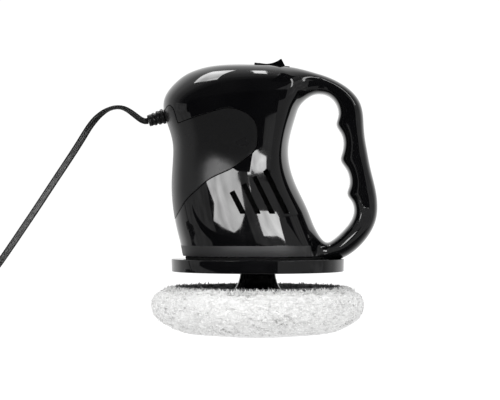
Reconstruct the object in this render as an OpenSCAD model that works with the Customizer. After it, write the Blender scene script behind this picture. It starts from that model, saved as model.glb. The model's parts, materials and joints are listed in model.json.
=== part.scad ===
// Small 12 V rotary polisher with a D handle, a fleece bonnet and a cord with an accessory plug.
// +Z is the spin axis, the origin is its foot on the polishing face, and the handle is on the +X side.

/* [Bonnet and pad] */
// Radius of the fleece bonnet
bonnet_r = 75; // [74:0.5:76]
// Height of the bonnet
bonnet_h = 38; // [37:0.5:39]
// Radius of the foam pad
pad_r = 66; // [64:0.5:66]

/* [Guard disc] */
// Radius of the guard disc under the body
flange_r = 61.3; // [60:0.1:63]
// Height of the disc's underside above the polishing face
flange_z = 46.7; // [46.2:0.1:47.2]
// Thickness of the disc at its rim
flange_h = 9; // [8.8:0.1:9]

/* [Housing] */
// Wall of the housing
wall = 3; // [2.8:0.1:3.2]
// Thickness of the nose panel
panel_t = 1.4; // [1.2:0.1:1.6]
// Half-width of the D handle
grip_w = 14.5; // [13.5:0.5:15.5]

/* [Drive] */
// Tooth module of the gear pair
tooth_module = 0.8; // [0.8]
// Teeth on the motor's pinion
pinion_teeth = 12; // [12]
// Teeth on the spindle's gear
gear_teeth = 43; // [43]
// Radius of the spindle
spindle_r = 4; // [4]
// Radius of the motor's can
motor_r = 21; // [20.5:0.1:21]

/* [Switch] */
// Length of the switch's frame
switch_l = 25; // [24.5:0.5:26]
// Width of the switch's frame
switch_w = 15.5; // [15:0.5:17]

/* [Cord and plug] */
// Width of the flat cord
cord_d = 5; // [4.5:0.1:5.2]
// Radius of the accessory plug's barrel
barrel_r = 10.2; // [10:0.05:10.4]

/* [Hidden] */
$fn = 64;

// Thickness of a slice that only carries a section into a hull
slice_t = 0.1;
// Gap between pieces that are assembled but don't move on each other
fit = 0.1;
// Radial clearance of a shaft that turns in its bore
running = 0.05;

gloss_black = [0.03, 0.03, 0.035];
matt_black = [0.09, 0.09, 0.1];
steel = [0.72, 0.73, 0.75];
dark_steel = [0.4, 0.41, 0.43];
brass = [0.8, 0.65, 0.3];
copper = [0.75, 0.4, 0.22];
white_fleece = [0.95, 0.95, 0.94];

// ---- Housing form ----

// Sections of the body: height, nose x, side edge x, back x, half-width, half-width at the edge
body_levels = [
    [57.2, -51.4, 38.0, 43.5, 39.0, 26], [59.5, -52.8, 38.2, 44.4, 40.6, 26.5],
    [64, -54.0, 36.2, 43.8, 42.0, 27.5], [70, -55.7, 33.2, 42.6, 43.0, 28.5],
    [77, -57.4, 29.6, 40.4, 43.6, 29.5], [84, -59.0, 26.6, 37.9, 43.9, 30.5],
    [92, -60.1, 23.4, 34.6, 44.0, 31], [103, -61.0, 19.2, 29.3, 43.6, 31.3],
    [113, -61.1, 15.9, 24.7, 42.8, 31.2], [124, -60.2, 14.4, 22.1, 42.0, 31],
    [133, -59.9, 15.0, 21.8, 41.8, 31], [141, -61.0, 16.2, 22.7, 42.0, 31],
    [149, -63.4, 17.8, 24.6, 42.4, 31], [156, -65.6, 19.6, 26.6, 42.6, 30.6],
    [163, -67.0, 21.4, 29.0, 42.2, 30], [169, -66.4, 23.6, 33.0, 41.0, 28.5],
    [175, -63.4, 27.0, 36.5, 38.4, 26], [181, -58.4, 28.5, 37.5, 34.4, 23],
    [186, -51.9, 27.0, 35.5, 29.4, 19.5], [190, -42.5, 20.0, 27.0, 22.6, 15],
    [192.4, -31.5, 8.0, 13.5, 14.4, 10], [193.3, -19, -4.0, -1.0, 5.0, 3.5]];
body_top = body_levels[len(body_levels) - 1][0];
body_base = body_levels[0][0];

// Stations along the D handle: outer x, outer z, inner x, inner z
grip_stations = [
    [18, 191.6, 16, 168], [31.7, 189.4, 35.6, 170.8], [45.6, 186.2, 42.6, 172.3],
    [58.6, 180.2, 49.8, 171.2], [67.5, 173.7, 54.2, 167.4], [72.5, 166.8, 56.9, 161.6],
    [74.6, 158.8, 57.2, 156.6], [75.1, 150.4, 55.9, 150.4], [75.8, 142, 60.1, 141.2],
    [77.6, 132, 60.4, 130.6], [78.8, 126, 58.9, 126], [81.2, 116, 64.0, 116],
    [83.0, 108, 65.1, 108], [84.2, 101.8, 63.6, 101.8], [84.9, 93, 68.4, 91.5],
    [83.9, 84, 67.2, 84.2], [80.9, 76.2, 62.0, 76.6], [76.5, 69.4, 57.4, 71.8],
    [70.6, 62.8, 53.0, 68.4], [62, 57.3, 49.0, 66.8], [48, 57.9, 44.0, 68.0],
    [38, 58.6, 36, 74]];
grip_power = 2.5;
section_power = 2.2;

// Side outline of the matt nose panel, closed beyond the nose
panel_outline = [
    [-90, 83], [-58, 83], [-53.7, 93.4], [-46.2, 101.7], [-35.2, 110.8], [-21.2, 120.6],
    [-12.1, 124.6], [-5.5, 129.3], [-1.2, 134.5], [0.3, 141], [-1.8, 149.6], [-5.0, 154.6],
    [-10.5, 158.8], [-18.5, 161.2], [-29.5, 159.1], [-43.9, 154.6], [-55.7, 151.0],
    [-57.6, 156.4], [-59.3, 161.2], [-62.3, 163.9], [-65.2, 161], [-66.5, 157.5],
    [-90, 157.5]];

function middle_x(s) = s[1] + 0.48 * (s[2] - s[1]);

// Half a body section, from the nose round to the back, drawn in by inset
function half_section(s, inset) =
    let (nose = s[1] + inset, edge = s[2] - inset, back = s[3] - inset,
        half = s[4] - inset, edge_half = s[5] - inset,
        mid = middle_x(s), power = 2 / section_power, swing = acos(edge_half / half))
    concat(
        [for (a = [0:10:90])
            [mid - (mid - nose) * pow(cos(a), power), half * pow(sin(a), power)]],
        [for (k = [1:5])
            let (a = swing * k / 5)
            [mid + (edge - mid) * sin(a) / sin(swing), half * cos(a)]],
        [for (k = [3:-1:0])
            let (y = edge_half * k / 4)
            [back - (back - edge) * pow(y / edge_half, 2), y]]);

function whole_section(s, inset) =
    let (half = half_section(s, inset), last = len(half) - 1)
    concat(half, [for (k = [last - 1:-1:1]) [half[k][0], -half[k][1]]]);

// The dome is steeper than its sections are apart, so an inner form sinks there as well
function section_z(s, inset) = s[0] - inset * max(0, min(1, (s[0] - 160) / 28));

module body_slice(s, inset) {
    translate([0, 0, section_z(s, inset)])
    linear_extrude(slice_t)
    polygon(whole_section(s, inset));
}

module body_form(inset) {
    for (k = [0:len(body_levels) - 2])
        hull() {
            body_slice(body_levels[k], inset);
            body_slice(body_levels[k + 1], inset);
        }
}

// Points round the grip's section at a station, from its outer edge
function grip_ring(s, inset) =
    let (across = [s[0] - s[2], 0, s[1] - s[3]], out = across / norm(across),
        half_t = norm(across) / 2 - inset, half_w = grip_w - inset, power = 2 / grip_power)
    [for (a = [0:18:342])
        [s[0] + s[2], 0, s[1] + s[3]] / 2
            + out * half_t * sign(cos(a)) * pow(abs(cos(a)), power)
            - [0, half_w * sign(sin(a)) * pow(abs(sin(a)), power), 0]];

module grip_form(inset) {
    loft([for (s = grip_stations) grip_ring(s, inset)]);
}

// A closed solid through rings of points that turn to the right along it
module loft(rings) {
    n = len(rings);
    sides = len(rings[0]);
    faces = concat(
        [[for (s = [0:sides - 1]) s]],
        [for (k = [0:n - 2], s = [0:sides - 1])
            let (b = k * sides, e = (s + 1) % sides)
            [b + s, b + sides + s, b + sides + e, b + e]],
        [[for (s = [sides - 1:-1:0]) (n - 1) * sides + s]]);
    polyhedron(points = [for (r = rings) each r], faces = faces);
}

module outer_form(inset) {
    body_form(inset);
    grip_form(inset);
}

// Screws that join the halves: x, z and the distance of the head's seat from the parting plane
joint_screws = [[-46, 168, 10], [-48, 71, 10], [13, 158, 10], [52, 62, 6],
    [58.5, 174.4, 6], [75.4, 84, 6]];
joint_screw_r = 1.5;
joint_head_r = 2.7;
joint_screw_l = 11;
joint_boss_r = 4.2;

// Screws that hold the guard disc: two near the nose and two near the handle
disc_screws = [[-40, 14], [-40, -14], [33, 14], [33, -14]];
disc_boss_top = 72;

motor_x = -tooth_module * (pinion_teeth + gear_teeth) / 2;
switch_x = 10;
switch_z = 192.1;
switch_tilt = 6.3;
relief_x = -66.2;
relief_z = 156.9;
relief_tilt = -107;

module at_switch() {
    translate([switch_x, 0, switch_z]) rotate([0, switch_tilt, 0]) children();
}

module at_relief() {
    translate([relief_x, 0, relief_z]) rotate([0, relief_tilt, 0]) children();
}

module along_y(x, z, y0, y1, r, sides = 24) {
    translate([x, y0, z]) rotate([-90, 0, 0]) cylinder(h = y1 - y0, r = r, $fn = sides);
}

// Four slanted slots: top x, top z, bottom x
vents = [[-17.9, 103, -10.2], [-9.7, 108.3, -0.1], [-2.5, 113.2, 10], [5.2, 117.9, 20.1]];
vent_w = 3.3;
vent_base = 88;
vent_from_y = 22;

module vent_slots(side) {
    for (v = vents) {
        along = [v[2] - v[0], vent_base - v[1]] / norm([v[2] - v[0], vent_base - v[1]]);
        across = [-along[1], along[0]] * vent_w / 2;
        foot = across[0] - across[1] * along[0] / along[1];
        translate([0, side > 0 ? 60 : -vent_from_y, 0])
        rotate([90, 0, 0])
        linear_extrude(60 - vent_from_y)
        polygon([[v[0], v[1]] + across, [v[0], v[1]] - across,
            [v[2] - foot, vent_base], [v[2] + foot, vent_base]]);
    }
}

module panel_prism(gap) {
    rotate([90, 0, 0])
    linear_extrude(120, center = true)
    offset(delta = gap)
    polygon(panel_outline);
}

// Webs that cradle the motor and carry the bosses
module housing_inside() {
    for (z = [94, 134])
        translate([-70, -50, z]) cube([90, 100, 2]);
    for (s = joint_screws)
        along_y(s[0], s[1], -60, 60, joint_boss_r, 20);
    for (s = disc_screws)
        translate([s[0], s[1], body_base - 1.5])
        cylinder(h = disc_boss_top - body_base + 1.5, r = 4.5, $fn = 24);
    // Walls that tie these bosses to the shell
    for (s = disc_screws)
        translate([s[0] - 1, s[1] > 0 ? s[1] : s[1] - 28, body_base + 0.5])
        cube([2, 28, disc_boss_top - body_base - 4]);
}

module housing_cuts(side) {
    for (z = [90:44:134])
        translate([motor_x, 0, z]) cylinder(h = 8, r = motor_r + 0.3, $fn = 48);
    for (s = joint_screws) {
        along_y(s[0], s[1], -s[2] - 2, s[2] + 0.5, joint_screw_r + 0.2, 16);
        if (side > 0)
            along_y(s[0], s[1], s[2], 60, joint_head_r + 0.3);
    }
    for (s = disc_screws)
        translate([s[0], s[1], body_base - 5]) cylinder(h = 16, r = joint_screw_r + 0.2, $fn = 16);
    vent_slots(side);
    at_switch() {
        translate([-switch_l / 2 + 1, -switch_w / 2 + 1, -12])
        cube([switch_l - 2, switch_w - 2, 20]);
        // Flat seat of the switch's frame
        translate([-switch_l / 2 - fit, -switch_w / 2 - fit, 0])
        cube([switch_l + 2 * fit, switch_w + 2 * fit, 8]);
    }
    at_relief() translate([0, 0, -6]) cylinder(h = 12, r = 4.5, $fn = 32);
}

module housing_half(side) {
    color(gloss_black)
    intersection() {
        translate([-100, side > 0 ? 0 : -60, 40]) cube([220, 60, 170]);
        difference() {
            union() {
                difference() {
                    outer_form(0);
                    outer_form(wall);
                    translate([0, 0, body_base - 1]) body_floor_opening();
                }
                body_lip();
                intersection() {
                    outer_form(wall / 2);
                    housing_inside();
                }
                disc_feet();
            }
            difference() {
                panel_prism(0);
                body_form(panel_t + fit);
            }
            housing_cuts(side);
        }
    }
}

// The shell is open over the guard disc
module body_floor_opening() {
    linear_extrude(4) polygon(whole_section(body_levels[0], wall));
}

// Inner lip that stands on the guard disc and leaves a dark joint above it
module body_lip() {
    lip_z = flange_z + flange_h;
    translate([0, 0, lip_z])
    linear_extrude(body_base + 3 - lip_z)
    difference() {
        polygon(whole_section(body_levels[0], 2));
        polygon(whole_section(body_levels[0], 4));
    }
}

module disc_feet() {
    lip_z = flange_z + flange_h;
    for (s = disc_screws)
        translate([s[0], s[1], lip_z]) cylinder(h = body_base - lip_z, r = 4.5, $fn = 24);
}

module housing_left() { housing_half(-1); }

module housing_right() { housing_half(1); }

module nose_panel() {
    color(matt_black)
    difference() {
        intersection() {
            body_form(0);
            panel_prism(-fit);
        }
        body_form(panel_t);
        at_relief() translate([0, 0, -6]) cylinder(h = 12, r = 4.5, $fn = 32);
    }
}

module housing_screws() {
    color(dark_steel)
    for (s = joint_screws) {
        along_y(s[0], s[1], s[2] - joint_screw_l, s[2] + 0.5, joint_screw_r);
        difference() {
            along_y(s[0], s[1], s[2] + 0.5, s[2] + 2.6, joint_head_r);
            translate([s[0] - 1.8, s[2] + 1.6, s[1] - 0.4]) cube([3.6, 2, 0.8]);
            translate([s[0] - 0.4, s[2] + 1.6, s[1] - 1.8]) cube([0.8, 2, 3.6]);
        }
    }
}

// ---- Guard disc ----

hub_hole_r = 13.4;
case_screw_circle = 18;
case_screw_angles = [22.5, 112.5, 202.5, 292.5];
disc_plate_t = 3;

module base_flange() {
    disc_top = flange_z + flange_h;
    plate_z = disc_top - disc_plate_t;
    color(gloss_black)
    difference() {
        union() {
            translate([0, 0, plate_z]) cylinder(h = disc_plate_t, r = flange_r);
            difference() {
                translate([0, 0, flange_z]) cylinder(h = plate_z - flange_z, r = flange_r);
                translate([0, 0, flange_z - 1])
                cylinder(h = plate_z - flange_z + 1, r = flange_r - 3);
            }
            translate([0, 0, flange_z]) cylinder(h = plate_z - flange_z, r = hub_hole_r + 1.6);
            for (a = [0:45:315])
                rotate([0, 0, a])
                translate([hub_hole_r + 1, -1, flange_z + 1])
                cube([flange_r - hub_hole_r - 3, 2, plate_z - flange_z - 1]);
        }
        translate([0, 0, flange_z - 1]) cylinder(h = flange_h + 2, r = hub_hole_r);
        for (s = disc_screws)
            translate([s[0], s[1], plate_z - 1]) cylinder(h = disc_plate_t + 2, r = 1.7);
        for (a = case_screw_angles)
            rotate([0, 0, a])
            translate([case_screw_circle, 0, plate_z - 1])
            cylinder(h = disc_plate_t + 2, r = 1.7);
    }
}

module pan_head_screw(head_r, head_h, shank_r, shank_l) {
    difference() {
        cylinder(h = head_h, r = head_r, $fn = 32);
        translate([-head_r * 0.6, -0.4, -1]) cube([head_r * 1.2, 0.8, 1.9]);
        translate([-0.4, -head_r * 0.6, -1]) cube([0.8, head_r * 1.2, 1.9]);
    }
    translate([0, 0, head_h]) cylinder(h = shank_l, r = shank_r, $fn = 32);
}

module flange_screws() {
    head_z = flange_z + flange_h - disc_plate_t - 2.2;
    color(dark_steel) {
        for (s = disc_screws)
            translate([s[0], s[1], head_z]) pan_head_screw(3, 2.2, 1.5, 12);
        for (a = case_screw_angles)
            rotate([0, 0, a])
            translate([case_screw_circle, 0, head_z]) pan_head_screw(3, 2.2, 1.5, 5);
    }
}

// ---- Switch ----

rocker_l = 19.2;
rocker_w = 9.8;
window_gap = 0.3;
pivot_z = -1;
pivot_r = 1;
case_depth = 15;

module switch_body() {
    color(matt_black)
    at_switch()
    difference() {
        union() {
            translate([-switch_l / 2, -switch_w / 2, 0]) cube([switch_l, switch_w, 1]);
            translate([-switch_l / 2 + 1.3, -switch_w / 2 + 1.3, -case_depth])
            cube([switch_l - 2.6, switch_w - 2.6, case_depth]);
        }
        translate([-rocker_l / 2 - window_gap / 2, -rocker_w / 2 - window_gap, -8.5])
        cube([rocker_l + window_gap, rocker_w + 2 * window_gap, 12]);
        along_y(0, pivot_z, -switch_w, switch_w, pivot_r, 32);
        for (x = [-6, 0, 6])
            translate([x - 0.4, -2.4, -case_depth - 1]) cube([0.8, 4.8, 5]);
    }
}

module switch_terminals() {
    color(brass)
    at_switch()
    for (x = [-6, 0, 6])
        translate([x - 0.4, -2.4, -case_depth - 7]) cube([0.8, 4.8, 11]);
}

module rocker_pin() {
    color(steel) at_switch() along_y(0, pivot_z, -switch_w / 2 + 1.4, switch_w / 2 - 1.4, pivot_r, 32);
}

// At rest the rocker's +X end is up
module switch_rocker() {
    color(gloss_black)
    at_switch()
    difference() {
        translate([0, rocker_w / 2, 0])
        rotate([90, 0, 0])
        linear_extrude(rocker_w)
        polygon([[-9.1, 1.3], [-6.5, 1.1], [-3.6, 1.25], [-0.8, 1.95], [1.7, 3.0], [3.9, 4.3],
            [5.4, 5.6], [5.9, 5.9], [6.3, 5.7], [9.1, 1.4], [9.1, 0.4], [8, -2.5], [3, -4.5],
            [-3, -4.5], [-7.6, -3.6], [-9.1, -0.6]]);
        along_y(0, pivot_z, -switch_w, switch_w, pivot_r + running, 32);
    }
}

// ---- Gears and gear case ----

function involute(a) = tan(a) * 180 / PI - a;

pressure_angle = 25;
backlash = 0.12;

// Points of a spur gear whose first tooth is centred on +X
function gear_outline(teeth) =
    let (pitch = tooth_module * teeth / 2, base = pitch * cos(pressure_angle),
        tip = pitch + tooth_module, root = pitch - 1.25 * tooth_module,
        half_tooth = 90 / teeth - backlash / pitch / 4 * 180 / PI,
        start = max(base, root),
        flank = [for (k = [0:4])
            let (r = start + (tip - start) * k / 4)
            [r, half_tooth + involute(pressure_angle) - involute(acos(min(1, base / r)))]])
    [for (t = [0:teeth - 1])
        each concat(
            [polar(root, t * 360 / teeth - flank[0][1])],
            [for (f = flank) polar(f[0], t * 360 / teeth - f[1])],
            [for (k = [4:-1:0]) polar(flank[k][0], t * 360 / teeth + flank[k][1])],
            [polar(root, t * 360 / teeth + flank[0][1])])];

function polar(r, a) = [r * cos(a), r * sin(a)];

// A plate whose outline is the belt round two circles, the second at the motor's axis
module belt_plate(r0, r1, h) {
    lean = asin((r0 - r1) / abs(motor_x));
    at_0 = [for (s = [1, -1]) [-r0 * sin(lean), s * r0 * cos(lean)]];
    at_1 = [for (s = [1, -1]) [motor_x - r1 * sin(lean), s * r1 * cos(lean)]];
    cylinder(h = h, r = r0);
    translate([motor_x, 0, 0]) cylinder(h = h, r = r1);
    linear_extrude(h) polygon([at_0[0], at_1[0], at_1[1], at_0[1]]);
}

case_base = flange_z + flange_h;
bearing_z = 57;
bearing_r = 11;
bearing_h = 7;
chamber_z = 64;
plate_z = 79.5;
motor_z = 83;
top_bearing_z = 77;
top_bearing_r = 7.5;
top_bearing_h = 5;
top_journal_r = 3;
gear_z = 67;
gear_h = 7;
case_lugs = [[12.75, 22.1], [12.75, -22.1], [-14, 20], [-14, -20]];

module gear_case() {
    color(dark_steel)
    difference() {
        union() {
            translate([0, 0, chamber_z - 2]) belt_plate(22.5, 11, plate_z - chamber_z + 2);
            translate([0, 0, case_base]) cylinder(h = chamber_z - case_base, r = 14);
            translate([0, 0, case_base]) cylinder(h = 2.5, r = 21.5);
            for (p = case_lugs)
                translate([p[0], p[1], chamber_z - 2]) cylinder(h = plate_z - chamber_z + 2, r = 4.5);
        }
        translate([0, 0, chamber_z]) belt_plate(19.6, 8.2, plate_z);
        translate([0, 0, bearing_z]) cylinder(h = bearing_h + 1, r = bearing_r);
        translate([0, 0, case_base - 1]) cylinder(h = 4, r = 6.5);
        for (p = case_lugs)
            translate([p[0], p[1], chamber_z - 3]) cylinder(h = plate_z, r = 1.7);
        for (a = case_screw_angles)
            rotate([0, 0, a])
            translate([case_screw_circle, 0, case_base - 1]) cylinder(h = 5, r = 1.7);
    }
}

motor_screw_angles = [110, 180, 250];
motor_screw_circle = 15;
bush_r = 5;
shaft_r = 2.5;

module motor_plate() {
    color(steel)
    difference() {
        union() {
            translate([0, 0, plate_z]) belt_plate(22.5, motor_r, motor_z - plate_z);
            for (p = case_lugs)
                translate([p[0], p[1], plate_z]) cylinder(h = motor_z - plate_z, r = 4.5);
            translate([0, 0, top_bearing_z]) cylinder(h = plate_z - top_bearing_z, r = 9.5);
        }
        translate([0, 0, top_bearing_z - 1]) cylinder(h = top_bearing_h + 1, r = top_bearing_r);
        translate([motor_x, 0, plate_z - 1]) cylinder(h = 6, r = bush_r + 0.2);
        for (p = case_lugs)
            translate([p[0], p[1], plate_z - 1]) cylinder(h = 3, r = 1.7);
        at_motor_screws(plate_z - 1) cylinder(h = 6, r = 1.7);
    }
}

module at_motor_screws(z) {
    for (a = motor_screw_angles)
        translate([motor_x, 0, z]) rotate([0, 0, a]) translate([motor_screw_circle, 0, 0]) children();
}

module gear_case_screws() {
    color(dark_steel)
    for (p = case_lugs)
        translate([p[0], p[1], chamber_z - 4.2]) pan_head_screw(3, 2.2, 1.5, 18.5);
}

module motor_screws() {
    color(dark_steel) at_motor_screws(plate_z - 2.2) pan_head_screw(3, 2.2, 1.5, 5);
}

module ring(outer, inner, h) {
    difference() {
        cylinder(h = h, r = outer);
        translate([0, 0, -1]) cylinder(h = h + 2, r = inner);
    }
}

// A sealed ball bearing, with the grooves between its shields and rings
module bearing(outer, inner, h) {
    groove = inner + (outer - inner) * 0.32;
    difference() {
        ring(outer, inner, h);
        for (z = [-1, h - 0.4])
            translate([0, 0, z])
            difference() {
                cylinder(h = 1.4, r = outer - (outer - inner) * 0.25);
                translate([0, 0, -1]) cylinder(h = 4, r = groove);
            }
    }
}

module lower_bearing() {
    color(steel) translate([0, 0, bearing_z]) bearing(bearing_r, spindle_r + running, bearing_h);
}

module upper_bearing() {
    color(steel)
    translate([0, 0, top_bearing_z])
    bearing(top_bearing_r, top_journal_r + running, top_bearing_h);
}

// ---- Spindle, hub and pad ----

hub_z = 29;
hub_top = 50;
shaft_seat_z = 32.5;
plate_t = 5;
pad_z = 7;
circlip_z = gear_z + gear_h;
circlip_t = 0.9;

module spindle_shaft() {
    color(steel)
    difference() {
        union() {
            translate([0, 0, shaft_seat_z + 0.5])
            cylinder(h = top_bearing_z - 0.5 - shaft_seat_z - 0.5, r = spindle_r);
            translate([0, 0, top_bearing_z - 0.5]) cylinder(h = 5.4, r = top_journal_r);
            translate([0, 0, chamber_z + 0.1]) cylinder(h = gear_z - chamber_z - 0.1, r = 5.5);
        }
        translate([0, 0, shaft_seat_z]) cylinder(h = 14.5, r = 2.55);
        translate([0, 0, circlip_z]) ring(spindle_r + 1, 3.5, circlip_t);
    }
}

module driven_gear() {
    color([0.9, 0.88, 0.82])
    translate([0, 0, gear_z])
    difference() {
        linear_extrude(gear_h) polygon(gear_outline(gear_teeth));
        translate([0, 0, -1]) cylinder(h = gear_h + 2, r = spindle_r);
        translate([0, 0, gear_h - 2.2])
        difference() {
            cylinder(h = 3, r = 14);
            translate([0, 0, -1]) cylinder(h = 6, r = 7.5);
        }
        for (a = [0:60:300])
            rotate([0, 0, a]) translate([10.8, 0, -1]) cylinder(h = gear_h + 2, r = 2.2);
    }
}

module gear_circlip() {
    color(dark_steel)
    translate([0, 0, circlip_z])
    difference() {
        ring(6, 3.55, circlip_t);
        translate([2, -1.5, -1]) cube([6, 3, 3]);
    }
}

// The hub flares like a trumpet from the shaft down to its foot on the backing plate
hub_profile = [[7, 29], [24, 29], [24, 30.4], [20.6, 31.2], [18.2, 32.4], [16.8, 33.7],
    [15.2, 36], [14, 38.6], [13.1, 41.6], [12.6, 44.4], [12.4, 47], [12.4, 49.4],
    [11.8, 50], [4, 50], [4, 32.5], [7, 32.5]];
plate_screw_circle = 18;

module drive_hub() {
    color(gloss_black)
    difference() {
        rotate_extrude() polygon(hub_profile);
        at_plate_screws(hub_z - 1) cylinder(h = 3.4, r = 1.7);
    }
}

module at_plate_screws(z) {
    for (a = [45:90:315])
        rotate([0, 0, a]) translate([plate_screw_circle, 0, z]) children();
}

module hub_screw() {
    head_h = 2;
    washer_h = 1.1;
    color(steel)
    translate([0, 0, shaft_seat_z - washer_h - head_h]) {
        difference() {
            cylinder(h = head_h, r = 5.5, $fn = 6);
            translate([0, 0, -1]) cylinder(h = 1.6, r = 3);
        }
        translate([0, 0, head_h]) cylinder(h = washer_h, r = 6.6);
        translate([0, 0, head_h]) cylinder(h = 13, r = 2.5);
    }
}

module backing_plate() {
    color(matt_black)
    translate([0, 0, hub_z - plate_t])
    difference() {
        cylinder(h = plate_t, r = pad_r - 0.8);
        translate([0, 0, -1]) cylinder(h = plate_t + 2, r = 8);
        at_plate_screws(-1) cylinder(h = plate_t + 2, r = 1.7);
        at_plate_screws(-1) cylinder(h = 3.6, r = 3.3);
        // Lightening pockets in the top face
        for (a = [22.5:45:337.5])
            rotate([0, 0, a]) translate([43, 0, 3]) cylinder(h = 4, r = 10);
    }
}

module plate_screws() {
    color(dark_steel) at_plate_screws(hub_z - plate_t + 0.4) pan_head_screw(3, 2.2, 1.5, 4.6);
}

module foam_pad() {
    color([0.25, 0.25, 0.27])
    translate([0, 0, pad_z]) ring(pad_r, 12, hub_z - plate_t - pad_z);
}

// Fleece cover: a flat face, a full round edge, and a rim that rolls in over the plate
module bonnet() {
    wide_z = 21;
    face_r = bonnet_r - 23;
    rim_r = bonnet_r - 11;
    hem_r = 57.2;
    hem_z = 33.5;
    seat_z = hub_z + 0.4;
    color(white_fleece)
    rotate_extrude($fn = 96)
    polygon(concat(
        [[0, 0]],
        [for (a = [-90:15:0]) [face_r + 23 * cos(a), wide_z + wide_z * sin(a)]],
        [for (a = [15:15:90]) [rim_r + 11 * cos(a), wide_z + (bonnet_h - wide_z) * sin(a)]],
        [for (a = [120:30:180]) [rim_r + (rim_r - hem_r) * cos(a), hem_z + (bonnet_h - hem_z) * sin(a)]],
        [[hem_r, seat_z], [pad_r + 0.4, seat_z], [pad_r + 0.4, pad_z], [0, pad_z]]));
}

module bonnet_elastic() {
    color(white_fleece)
    translate([0, 0, hub_z + 1.2]) rotate_extrude() translate([55.8, 0]) circle(r = 1.1, $fn = 16);
}

// ---- Motor ----

can_h = 62;
can_wall = 1.5;
can_top = motor_z + can_h;
cap_h = 4;

module at_motor(z) {
    translate([motor_x, 0, z]) children();
}

module motor_can() {
    color(steel)
    at_motor(motor_z)
    difference() {
        cylinder(h = can_h, r = motor_r);
        translate([0, 0, 2]) cylinder(h = can_h, r = motor_r - can_wall);
        translate([0, 0, -1]) cylinder(h = 4, r = bush_r);
        for (a = motor_screw_angles)
            rotate([0, 0, a]) translate([motor_screw_circle, 0, -1]) cylinder(h = 4, r = 1.7);
        // Air outlets round the fan
        for (a = [45:90:315])
            rotate([0, 0, a]) translate([motor_r - 4, -6, 4]) cube([8, 12, 6]);
    }
}

module motor_magnets() {
    outer = motor_r - can_wall - fit;
    color([0.2, 0.2, 0.21])
    at_motor(97)
    difference() {
        ring(outer, 15.5, 36);
        for (a = [0, 180])
            rotate([0, 0, a]) translate([0, -6, -1]) cube([30, 12, 40]);
    }
}

brush_z = 138.6;

module motor_end_cap() {
    color([0.85, 0.84, 0.8])
    at_motor(can_top)
    difference() {
        union() {
            cylinder(h = cap_h, r = motor_r);
            translate([0, 0, -3]) ring(motor_r - can_wall - fit, 16, 3);
            for (s = [1, -1])
                translate([-4, s > 0 ? 8 : -17, -8]) cube([8, 9, 8]);
        }
        translate([0, 0, -1]) cylinder(h = cap_h + 2, r = 4.5);
        for (s = [1, -1]) {
            translate([-2.1, s > 0 ? 7 : -14.5, brush_z - can_top - 0.1]) cube([4.2, 7.5, 5.2]);
            translate([-2.6, s * 12 - 0.5, -1.3]) cube([5.2, 1, cap_h + 2]);
        }
    }
}

module motor_brushes() {
    color([0.15, 0.15, 0.16])
    at_motor(brush_z)
    for (s = [1, -1])
        translate([-2, s > 0 ? 6.15 : -14, 0]) cube([4, 7.85, 5]);
}

module motor_terminals() {
    color(brass)
    at_motor(can_top - 1.2)
    for (s = [1, -1])
        translate([-2.4, s * 12 - 0.4, 0]) cube([4.8, 0.8, 11]);
}

module front_bush() {
    color(brass) at_motor(80.5) ring(bush_r, shaft_r + running, 5.5);
}

module rear_bush() {
    color(brass) at_motor(can_top) ring(4.5, shaft_r + running, cap_h);
}

module armature_shaft() {
    color(steel) at_motor(65.5) cylinder(h = can_top + cap_h + 1.5 - 65.5, r = shaft_r);
}

core_r = 14.8;
core_z = 98;
core_h = 33;
commutator_z = 137.5;

module slots(w, r0, r1, h) {
    for (a = [0:72:288])
        rotate([0, 0, a + 36]) translate([r0, -w / 2, 0]) cube([r1 - r0, w, h]);
}

module armature_core() {
    color(dark_steel)
    at_motor(core_z)
    difference() {
        cylinder(h = core_h, r = core_r);
        translate([0, 0, -1]) cylinder(h = core_h + 2, r = shaft_r);
        translate([0, 0, -1]) slots(2, 12, 16, core_h + 2);
        translate([0, 0, -1]) slots(5, 6.5, 12.6, core_h + 2);
    }
}

module armature_windings() {
    color(copper)
    at_motor(core_z) {
        slots_fill();
        translate([0, 0, core_h]) end_turns(5);
        translate([0, 0, -5]) end_turns(5);
    }
}

module slots_fill() {
    slots(4.6, 6.8, 12.3, core_h);
}

module end_turns(h) {
    difference() {
        cylinder(h = h, r = 12.6);
        translate([0, 0, -1]) cylinder(h = h + 2, r = 4);
    }
}

module commutator() {
    color(copper)
    at_motor(commutator_z)
    difference() {
        cylinder(h = 6.5, r = 6);
        translate([0, 0, -1]) cylinder(h = 9, r = shaft_r);
        for (a = [0:72:288])
            rotate([0, 0, a]) translate([4.8, -0.3, -1]) cube([4, 0.6, 9]);
    }
}

module cooling_fan() {
    blades = 9;
    color(matt_black)
    at_motor(87)
    difference() {
        union() {
            cylinder(h = 4.6, r = 6);
            cylinder(h = 1, r = 17);
            for (k = [0:blades - 1])
                rotate([0, 0, k * 360 / blades]) translate([5, -0.6, 0]) cube([12, 1.2, 4.6]);
        }
        translate([0, 0, -1]) cylinder(h = 8, r = shaft_r);
    }
}

module pinion() {
    color(brass)
    at_motor(gear_z - 1)
    difference() {
        linear_extrude(gear_h + 2) polygon(gear_outline(pinion_teeth));
        translate([0, 0, -1]) cylinder(h = gear_h + 4, r = shaft_r);
    }
}

// ---- Swept tubes: leads, cord and spring ----

function unit(v) = v / norm(v);

// A point on the smooth curve through four route points
function curve_point(a, b, c, d, t) =
    0.5 * (2 * b + (c - a) * t + (2 * a - 5 * b + 4 * c - d) * t * t
        + (3 * b - a - 3 * c + d) * t * t * t);

function smooth_route(route, steps) =
    let (n = len(route) - 1)
    concat(
        [for (k = [0:n - 1], s = [0:steps - 1])
            curve_point(route[max(0, k - 1)], route[k], route[k + 1], route[min(n, k + 2)], s / steps)],
        [route[n]]);

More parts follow.
